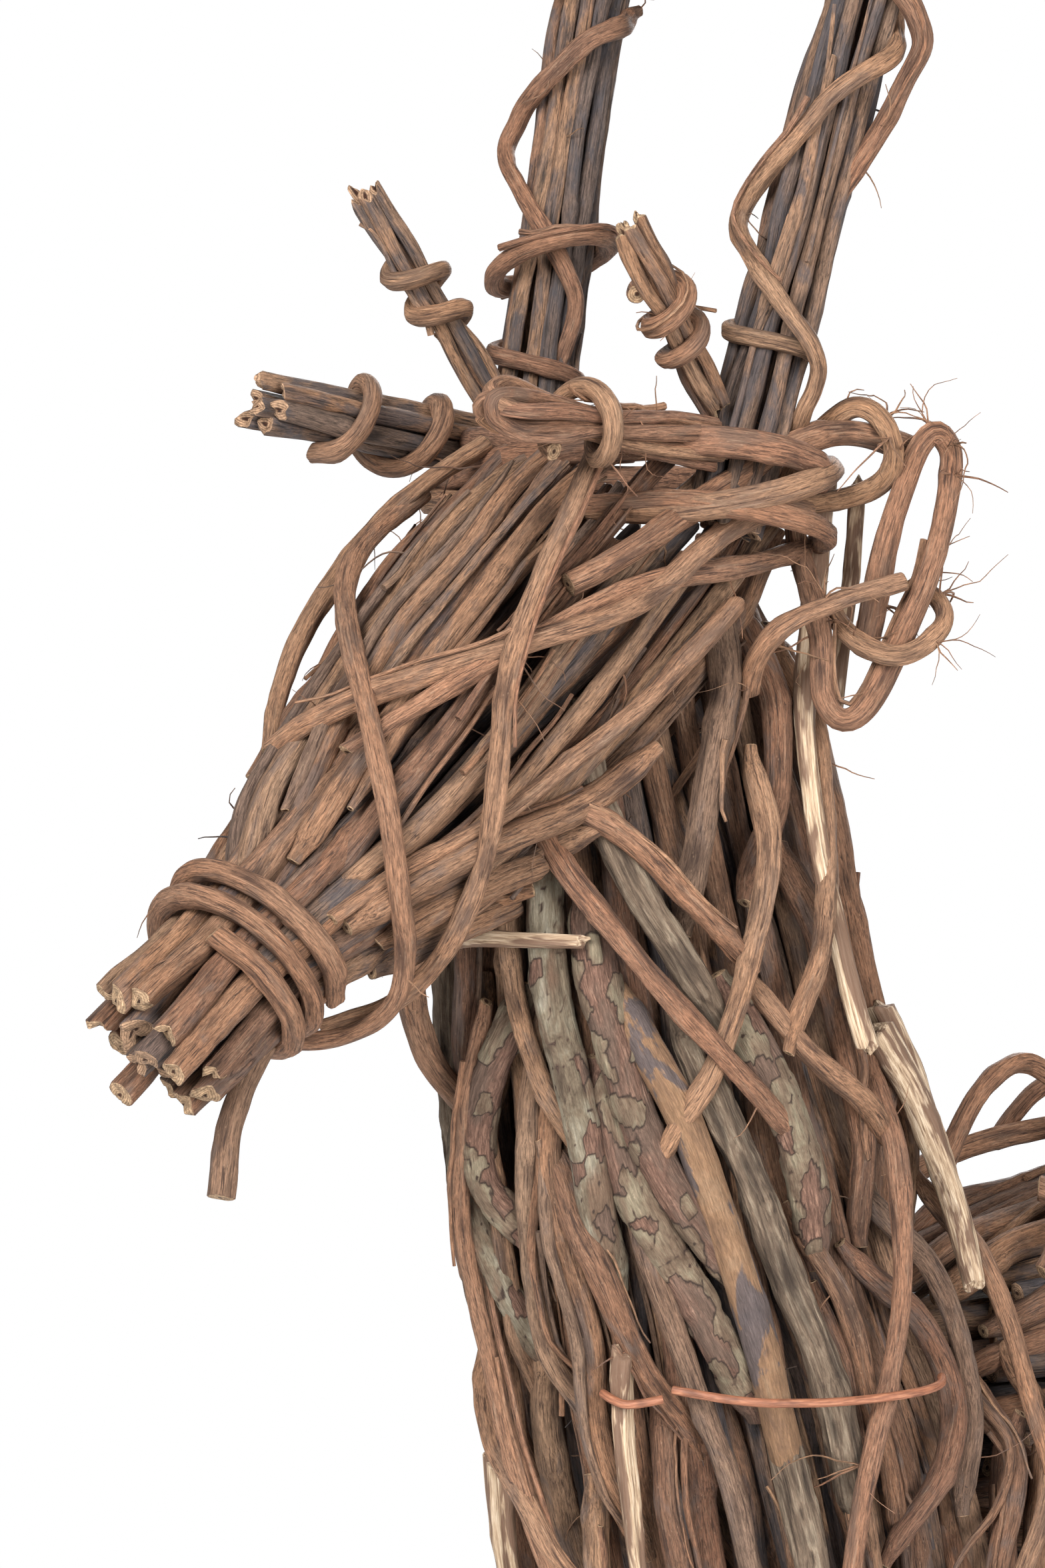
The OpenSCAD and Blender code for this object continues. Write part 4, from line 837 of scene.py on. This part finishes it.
def cut_wood(n, grain, pale, dark):
    """The colour of a sawn or snapped end: rings round a dark pith, with torn fibres."""
    apart = n.add("ShaderNodeSeparateXYZ")
    n.link(grain, apart.inputs[0])
    across = n.maths("POWER", apart.outputs[0], 2.0)
    up = n.maths("POWER", apart.outputs[1], 2.0)
    away = n.maths("SQRT", n.maths("ADD", across, up))
    rings = n.maths("SINE", n.maths("MULTIPLY", away, TAU / (0.75 * MM)))
    shade = n.ramp(n.maths("MULTIPLY_ADD", rings, 0.5), [(0.0, dark), (0.5, pale)])
    pith = n.ramp(n.maths("DIVIDE", away, 1.6 * MM), [(0.25, (0.10, 0.045, 0.022)), (0.6, (1.0, 1.0, 1.0))])
    blotch = n.ramp(n.noise(grain, 700.0, 3.0, 0.7), [(0.35, 0.45), (0.65, 1.15)])
    return n.mix(1.0, n.mix(1.0, shade, pith, "MULTIPLY"), blotch, "MULTIPLY")


def read_tone(n):
    """The stick's own number, whether this is a cut end, and the bark's height, each from 0 to 1."""
    tone = n.add("ShaderNodeSeparateXYZ")
    n.link(n.attribute("tone"), tone.inputs[0])
    return tone.outputs[0], tone.outputs[1], tone.outputs[2]


def bark(name, sticks, crevice_shade, fleck, fleck_share, patch, patch_share, ends, rough, relief):
    """Bark. sticks are the ramp stops of stick-to-stick colour; the third argument is the near-black
    painted shade colour laid into the furrows and cracks between ridges.
    """
    n = Nodes(name)
    grain = n.attribute("grain")
    seed, cut, height = read_tone(n)
    fibres = n.noise(n.scaled(grain, (1, 1, 0.12)), 2300.0, 5.0, 0.72, 0.4)
    strands = n.noise(n.scaled(grain, (1, 1, 0.055)), 1350.0, 4.0, 0.66, 0.5)
    blotches = n.noise(n.scaled(grain, (1, 1, 0.35)), 95.0, 4.0, 0.65, 0.6)
    warmth = n.noise(n.scaled(grain, (1, 1, 0.25)), 42.0, 2.0, 0.5)
    base = n.ramp(seed, sticks)
    warmer = n.mix(1.0, base, (1.25, 1.05, 0.88), "MULTIPLY")
    base = n.mix(n.ramp(warmth, [(0.35, 0.0), (0.65, 0.55)]), base, warmer)
    shade = n.ramp(fibres, [(0.36, 0.40), (0.50, 0.95), (0.64, 1.50)])
    base = n.mix(0.95, base, shade, "MULTIPLY")
    # Painted shade: the furrows between the bark's ridges, where height is low, are darkened towards a
    # near-black colour.
    valley_shade = n.ramp(height, [(0.10, 1.0), (0.55, 0.0)])
    base = n.mix(n.maths("MULTIPLY", valley_shade, 0.85), base, crevice_shade)
    low = 0.62 - patch_share * 0.3
    base = n.mix(n.ramp(blotches, [(low, 0.0), (low + 0.12, 0.75)]), base, patch)
    # Painted shade: the low lines of the strand noise, the bark's cracks, are darkened to the same
    # near-black shade colour.
    cracks = n.ramp(strands, [(0.36, 0.85), (0.45, 0.0)])
    base = n.mix(cracks, base, crevice_shade)
    crests = n.ramp(strands, [(0.56, 0.0), (0.66, 0.30)])
    base = n.mix(crests, base, fleck)
    dots = n.cells(n.scaled(grain, (1, 1, 0.6)), 620.0)
    dots = n.ramp(dots, [(0.06, fleck_share), (0.18, 0.0)])
    base = n.mix(dots, base, fleck)
    inner = cut_wood(n, grain, ends[0], ends[1])
    base = n.mix(n.ramp(cut, [(0.35, 0.0), (0.75, 1.0)]), base, inner)
    n.surface(base, n.ramp(fibres, [(0.3, rough + 0.10), (0.7, rough - 0.12)]), 0.35)
    relief_height = n.maths("ADD", n.maths("MULTIPLY", fibres, 0.6), strands)
    n.bump(relief_height, relief * MM, 1.0)
    return n.material


def between(n, seed, low, high):
    """1 where the stick's own number lies between low and high, else 0."""
    return n.maths("MULTIPLY", n.maths("GREATER_THAN", seed, low), n.maths("LESS_THAN", seed, high))


def scale_bark(name):
    """The thick branches: crusted, flaking, mottled and furrowed bark, by the stick's own number."""
    n = Nodes(name)
    grain = n.attribute("grain")
    seed, cut, height = read_tone(n)
    fibres = n.noise(n.scaled(grain, (1, 1, 0.16)), 1300.0, 5.0, 0.72, 0.4)
    strands = n.noise(n.scaled(grain, (1, 1, 0.06)), 520.0, 3.0, 0.65, 0.5)
    blotches = n.noise(n.scaled(grain, (1, 1, 0.45)), 150.0, 4.0, 0.68, 0.5)
    islands = n.noise(n.scaled(grain, (1, 1, 0.40)), 75.0, 5.0, 0.6, 0.4)
    grit = n.ramp(fibres, [(0.28, 0.45), (0.50, 0.95), (0.74, 1.6)])

    crust = n.ramp(blotches, [(0.32, (0.085, 0.058, 0.038)), (0.46, (0.165, 0.124, 0.082)),
                              (0.58, (0.235, 0.198, 0.140)), (0.72, (0.330, 0.295, 0.225))])
    flake_top = n.ramp(blotches, [(0.34, (0.115, 0.072, 0.046)), (0.48, (0.185, 0.130, 0.086)),
                                  (0.60, (0.240, 0.195, 0.130)), (0.74, (0.300, 0.235, 0.160))])
    flake_under = n.ramp(fibres, [(0.25, (0.085, 0.044, 0.030)), (0.52, (0.175, 0.095, 0.066)),
                                  (0.78, (0.300, 0.175, 0.120))])
    flake_under = n.mix(n.ramp(islands, [(0.46, 0.0), (0.56, 0.8)]), flake_under, (0.125, 0.082, 0.060))
    left_on = n.ramp(height, [(0.30, 0.0), (0.55, 1.0)])
    crust = n.mix(n.ramp(islands, [(0.48, 0.0), (0.58, 0.8)]), crust, (0.150, 0.088, 0.056))
    flaking = n.mix(left_on, flake_under, flake_top)
    mottle = n.ramp(blotches, [(0.30, (0.170, 0.098, 0.060)), (0.52, (0.265, 0.150, 0.082)),
                               (0.75, (0.300, 0.190, 0.115))])
    mottle = n.mix(n.ramp(islands, [(0.52, 0.0), (0.55, 0.85)]), mottle, (0.090, 0.076, 0.080))
    furrowed = n.ramp(strands, [(0.34, (0.056, 0.038, 0.026)), (0.50, (0.165, 0.115, 0.078)),
                                (0.64, (0.265, 0.205, 0.145))])
    # Painted shade: the furrows of the furrowed branches, where height is low, are darkened to near-black.
    furrowed = n.mix(n.ramp(height, [(0.15, 0.85), (0.60, 0.0)]), furrowed, (0.032, 0.021, 0.015))

    base = n.mix(between(n, seed, 0.25, 0.50), n.mix(left_on, flake_under, crust), flaking)
    base = n.mix(between(n, seed, 0.50, 0.75), base, mottle)
    base = n.mix(between(n, seed, 0.75, 1.01), base, furrowed)
    base = n.mix(0.75, base, grit, "MULTIPLY")
    # Painted shade: on crusted and flaking branches, the cracks round the bark plates and the plates' edges
    # are darkened to near-black.
    edge = n.ramp(height, [(0.08, 0.0), (0.32, 1.0), (0.60, 0.0)])
    base = n.mix(n.maths("MULTIPLY", n.maths("MULTIPLY", edge, 0.9), n.maths("LESS_THAN", seed, 0.5)),
                 base, (0.022, 0.014, 0.010))
    ends = cut_wood(n, grain, (0.50, 0.33, 0.19), (0.30, 0.18, 0.10))
    base = n.mix(n.ramp(cut, [(0.35, 0.0), (0.75, 1.0)]), base, ends)
    n.surface(base, n.ramp(fibres, [(0.3, 0.95), (0.7, 0.72)]), 0.3)
    n.bump(n.maths("ADD", fibres, n.maths("MULTIPLY", strands, 0.8)), 1.4 * MM, 1.0)
    return n.material


def split_wood(name):
    """Pale wood split along its grain, with darker fibres and a little bark left on."""
    n = Nodes(name)
    grain = n.attribute("grain")
    fibres = n.noise(n.scaled(grain, (1, 1, 0.04)), 1300.0, 4.0, 0.7, 0.2)
    bands = n.noise(n.scaled(grain, (1, 1, 0.12)), 260.0, 3.0, 0.6, 0.4)
    base = n.ramp(fibres, [(0.32, (0.14, 0.080, 0.048)), (0.50, (0.42, 0.300, 0.195)),
                           (0.68, (0.66, 0.53, 0.39))])
    base = n.mix(n.ramp(bands, [(0.47, 0.0), (0.54, 0.92)]), base, (0.135, 0.075, 0.048))
    n.surface(base, n.ramp(fibres, [(0.3, 0.9), (0.7, 0.62)]), 0.3)
    n.bump(fibres, 0.7 * MM, 0.85)
    return n.material


def root_tie(name):
    """The thin reddish root drawn across the neck."""
    n = Nodes(name)
    grain = n.attribute("grain")
    fibres = n.noise(n.scaled(grain, (1, 1, 0.1)), 1800.0, 3.0, 0.6)
    spots = n.noise(n.scaled(grain, (1, 1, 0.4)), 300.0, 2.0, 0.5)
    base = n.ramp(fibres, [(0.25, (0.12, 0.045, 0.024)), (0.55, (0.27, 0.105, 0.055)),
                           (0.80, (0.42, 0.20, 0.11))])
    base = n.mix(n.ramp(spots, [(0.55, 0.0), (0.7, 0.7)]), base, (0.09, 0.035, 0.02))
    n.surface(base, n.ramp(fibres, [(0.3, 0.7), (0.7, 0.45)]), 0.4)
    n.bump(fibres, 0.3 * MM, 0.6)
    return n.material


def steel(name):
    """Drawn mild steel rod with scale and rust bloom, seen only between the sticks."""
    n = Nodes(name)
    place = n.add("ShaderNodeTexCoord").outputs["Object"]
    drawn = n.noise(n.scaled(place, (1, 1, 0.08)), 2200.0, 2.0, 0.5)
    bloom = n.noise(place, 130.0, 4.0, 0.65, 0.4)
    base = n.ramp(drawn, [(0.3, (0.10, 0.10, 0.105)), (0.7, (0.26, 0.26, 0.27))])
    rust = n.ramp(bloom, [(0.50, 0.0), (0.62, 1.0)])
    base = n.mix(rust, base, (0.16, 0.062, 0.026))
    n.link(base, n.shader.inputs["Base Color"])
    n.link(n.ramp(bloom, [(0.48, 0.0), (0.60, 1.0)]), n.shader.inputs["Roughness"])
    n.link(n.ramp(bloom, [(0.50, 0.85), (0.62, 0.1)]), n.shader.inputs["Metallic"])
    n.bump(bloom, 0.4 * MM, 0.5)
    return n.material


BROWN_STICKS = [
    (0.0, (0.205, 0.105, 0.061)), (0.2, (0.128, 0.066, 0.040)), (0.4, (0.238, 0.131, 0.075)),
    (0.6, (0.150, 0.074, 0.045)), (0.8, (0.265, 0.158, 0.094)), (1.0, (0.112, 0.074, 0.056)),
]
VINE_STICKS = [
    (0.0, (0.250, 0.136, 0.080)), (0.25, (0.205, 0.105, 0.063)), (0.5, (0.282, 0.162, 0.095)),
    (0.75, (0.218, 0.112, 0.069)), (1.0, (0.262, 0.153, 0.088)),
]
DARK_STICKS = [
    (0.0, (0.088, 0.064, 0.052)), (0.17, (0.262, 0.150, 0.088)), (0.34, (0.056, 0.052, 0.055)),
    (0.5, (0.236, 0.128, 0.076)), (0.67, (0.112, 0.078, 0.062)), (0.84, (0.290, 0.172, 0.102)),
    (1.0, (0.142, 0.094, 0.070)),
]

MATERIALS = {
    # In each bark below, the second colour is the near-black painted shade for the furrows and cracks
    # between ridges.
    "twig_bark": bark("twig_bark", BROWN_STICKS, (0.034, 0.017, 0.011), (0.36, 0.24, 0.16), 0.30,
                      (0.115, 0.082, 0.068), 0.35, ((0.55, 0.37, 0.22), (0.32, 0.19, 0.11)), 0.78, 1.0),
    "vine_bark": bark("vine_bark", VINE_STICKS, (0.042, 0.020, 0.013), (0.40, 0.27, 0.18), 0.25,
                      (0.125, 0.076, 0.053), 0.25, ((0.52, 0.34, 0.20), (0.30, 0.17, 0.09)), 0.74, 1.0),
    "dark_bark": bark("dark_bark", DARK_STICKS, (0.018, 0.013, 0.011), (0.30, 0.21, 0.15), 0.20,
                      (0.058, 0.054, 0.060), 0.50, ((0.50, 0.31, 0.19), (0.24, 0.14, 0.08)), 0.74, 1.0),
    "lichen_bark": scale_bark("lichen_bark"),
    "split_wood": split_wood("split_wood"),
    "root_tie": root_tie("root_tie"),
    "frame_steel": steel("frame_steel"),
}


# ---------------------------------------------------------------- the figure

# The lines through the middles of the limbs, which tapered ends dip towards.
NECK_LINE = ((0, -0.105, 0.52), (0, -0.19, 0.79))
BODY_LINE = ((0, -0.10, 0.54), (0, 0.32, 0.54))
HEAD_LINE = ((0, -0.371, 0.690), (0, -0.167, 0.858))


def build_figure():
    """Every CAD node: which finish it has, what kind of stick it is, sides and ring spacing in metres."""
    for node in ("frame_spine", "frame_leg_rods"):
        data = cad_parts[node].data
        data.materials.clear()
        data.materials.append(MATERIALS["frame_steel"])
    for node in ("frame_body_hoops", "frame_neck_hoops"):
        sticks_piece(node, "frame_steel", WIRE, 8, 6 * MM)
    for node in ("body_core_sticks", "neck_core_sticks"):
        sticks_piece(node, "dark_bark", HIDDEN, 8, 9 * MM)
    sticks_piece("body_inner_sticks", "dark_bark", HIDDEN, 10, 5 * MM, BODY_LINE,
                 packing=((1.04, 0.2, 0), (0.88, 0.1, 0)))
    sticks_piece("neck_inner_sticks", "dark_bark", TUCKED_TWIG, 12, 4 * MM, NECK_LINE,
                 packing=((1.03, 0.2, 0), (0.84, 0.1, 0)))

    for end in ("front", "hind"):
        for hand in ("left", "right"):
            sticks_piece(f"leg_sticks_{end}_{hand}", "twig_bark", LEG, 12, 3 * MM)
            lashing_piece(f"leg_lashings_{end}_{hand}", "vine_bark", VINE, 14, 3 * MM)
    for node in ("shoulder_sticks", "haunch_sticks"):
        for hand in ("left", "right"):
            sticks_piece(f"{node}_{hand}", "twig_bark", dict(TUCKED_TWIG, tuck=0), 14, 2.5 * MM)
    sticks_piece("body_outer_sticks", "twig_bark", SMOOTH, 14, 3 * MM, BODY_LINE)
    for node in ("body_cross_vines", "back_vine_curls", "rump_vines"):
        sticks_piece(node, "vine_bark", VINE, 14, 2.5 * MM)
    sticks_piece("tail_sticks", "twig_bark", MUZZLE, 12, 2 * MM)
    sticks_piece("tail_binding", "vine_bark", VINE, 14, 2 * MM)

    sticks_piece("neck_middle_sticks", "twig_bark", SMOOTH, 16, 2.5 * MM, NECK_LINE)
    sticks_piece("neck_outer_sticks", "twig_bark", TUCKED_TWIG, 18, 2 * MM, NECK_LINE)
    sticks_piece("neck_bark_branches", "lichen_bark", BRANCH, 36, 1.5 * MM, NECK_LINE, BRANCH_ORDER)
    sticks_piece("neck_split_strips", "split_wood", SPLIT, 24, 2 * MM)
    for node in ("neck_cross_sticks", "neck_vines"):
        sticks_piece(node, "vine_bark", TUCKED_VINE, 20, 1.8 * MM, NECK_LINE)
    sticks_piece("neck_wire_tie", "root_tie", WIRE, 10, 1.5 * MM)

    sticks_piece("muzzle_core_sticks", "dark_bark", MUZZLE, 16, 2 * MM, HEAD_LINE,
                 packing=((1.45, 0.5, 0.34), (1.75, -0.3, 0.34), (2.0, 0.2, 0.34)))
    sticks_piece("muzzle_rim_sticks", "twig_bark", MUZZLE, 20, 1.8 * MM)
    sticks_piece("cheek_sticks", "twig_bark", CHEEK, 20, 1.8 * MM, HEAD_LINE)
    sticks_piece("jaw_sticks", "twig_bark", dict(TUCKED_TWIG, tuck=0), 20, 1.8 * MM)
    sticks_piece("chin_twig", "twig_bark", TWIG, 20, 1.8 * MM)
    for node in ("head_vines", "muzzle_lashing", "crown_vines"):
        sticks_piece(node, "vine_bark", VINE, 20, 1.8 * MM)
    for hand in ("left", "right"):
        sticks_piece(f"ear_loops_{hand}", "vine_bark", EAR, 20, 1.6 * MM)
    sticks_piece("ear_tails", "split_wood", SPLIT, 20, 2 * MM)

    torn_stick = dict(ANTLER, end="torn")
    bound_piece("brow_tine_left", "antler_beam_left", "vine_bark", VINE, 20, 1.6 * MM, 0.50, 2.0, True)
    sticks_piece("brow_tine_right", "dark_bark", torn_stick, 18, 1.8 * MM)
    for hand, slot, twist in (("left", "twig_bark", 1.1), ("right", "dark_bark", -1.1)):
        bound_piece(f"second_tine_{hand}", f"antler_beam_{hand}", slot, torn_stick, 18, 1.6 * MM,
                    0.45, twist, False)
    for hand in ("left", "right"):
        sticks_piece(f"antler_beam_{hand}", "dark_bark", ANTLER, 20, 2 * MM)
        sticks_piece(f"top_tines_{hand}", "dark_bark", ANTLER, 16, 2 * MM)
        sticks_piece(f"antler_spiral_{hand}", "vine_bark", TUCKED_VINE, 20, 1.6 * MM,
                     middle_line(f"antler_beam_{hand}"))
        brow_tight = 2.4 * MM if hand == "left" else 0.8 * MM
        for tine, tight in (("brow_tine", brow_tight), ("second_tine", 2.0 * MM)):
            sticks_piece(f"{tine}_binding_{hand}", "vine_bark", VINE, 20, 1.6 * MM,
                         middle_line(f"{tine}_{hand}"), tight=tight)
        sticks_piece(f"top_tine_bindings_{hand}", "vine_bark", VINE, 18, 1.8 * MM)


# ---------------------------------------------------------------- stage, light and camera

WORLD_LIGHT = 0.34  # how much the white world lights, against how bright it looks


FLOOR_Z = -0.5 * MM  # just under the feet, so the two surfaces don't share a plane
FLOOR_REACH = 2.4


def floor():
    """A pale round floor."""
    mesh = bpy.data.meshes.new("floor")
    count = 96
    turns = [TAU * i / count for i in range(count)]
    ring = [(FLOOR_REACH * math.cos(turn), FLOOR_REACH * math.sin(turn), FLOOR_Z) for turn in turns]
    mesh.from_pydata(ring, [], [list(range(count))])
    obj = bpy.data.objects.new("floor", mesh)
    bpy.context.scene.collection.objects.link(obj)
    n = Nodes("pale_floor")
    place = n.add("ShaderNodeTexCoord").outputs["Object"]
    n.link(n.ramp(n.noise(place, 3.0), [(0.0, 0.80), (1.0, 0.84)]), n.shader.inputs["Base Color"])
    n.shader.inputs["Roughness"].default_value = 0.9
    mesh.materials.append(n.material)


def soft_box(name, place, target, width, height, power):
    light = bpy.data.lights.new(name, "AREA")
    light.shape = "RECTANGLE"
    light.size = width
    light.size_y = height
    light.energy = power
    obj = bpy.data.objects.new(name, light)
    bpy.context.scene.collection.objects.link(obj)
    obj.location = place
    way = Vector(target) - Vector(place)
    obj.rotation_mode = "QUATERNION"
    obj.rotation_quaternion = way.to_track_quat("-Z", "Y")


def lights():
    """A soft key, a weaker fill, a light behind, and a world that looks white but lights less."""
    world = bpy.data.worlds.new("studio")
    world.use_nodes = True
    tree = world.node_tree
    background = tree.nodes["Background"]
    background.inputs["Color"].default_value = (1, 1, 1, 1)
    path = tree.nodes.new("ShaderNodeLightPath")
    strength = tree.nodes.new("ShaderNodeMapRange")
    strength.inputs["To Min"].default_value = WORLD_LIGHT
    strength.inputs["To Max"].default_value = 1.0
    tree.links.new(path.outputs["Is Camera Ray"], strength.inputs["Value"])
    tree.links.new(strength.outputs["Result"], background.inputs["Strength"])
    bpy.context.scene.world = world
    soft_box("key", (0.9, -2.3, 2.0), (0, -0.15, 0.75), 1.3, 1.3, 112)
    soft_box("fill", (2.6, -0.8, 1.0), (0, -0.1, 0.7), 1.2, 1.2, 76)
    soft_box("back", (-2.0, 2.4, 1.9), (0, 0.1, 0.65), 1.8, 1.8, 150)


CAMERA_PLACE = (1.119, -1.170, 0.768)
CAMERA_WAY = (-0.766, 0.643, 0)
LENS_MM = 109.3
SENSOR_WIDTH_MM = 36
NEAREST_SEEN = 0.05
FARTHEST_SEEN = 50


def camera():
    """The photograph's view: level, from the animal's front left."""
    lens = bpy.data.cameras.new("camera")
    lens.sensor_width = SENSOR_WIDTH_MM
    lens.lens = LENS_MM
    lens.clip_start = NEAREST_SEEN
    lens.clip_end = FARTHEST_SEEN
    obj = bpy.data.objects.new("camera", lens)
    bpy.context.scene.collection.objects.link(obj)
    obj.location = CAMERA_PLACE
    obj.rotation_mode = "QUATERNION"
    obj.rotation_quaternion = Vector(CAMERA_WAY).to_track_quat("-Z", "Y")
    bpy.context.scene.camera = obj


build_figure()
floor()
lights()
camera()
bpy.context.scene.view_settings.view_transform = "Standard"
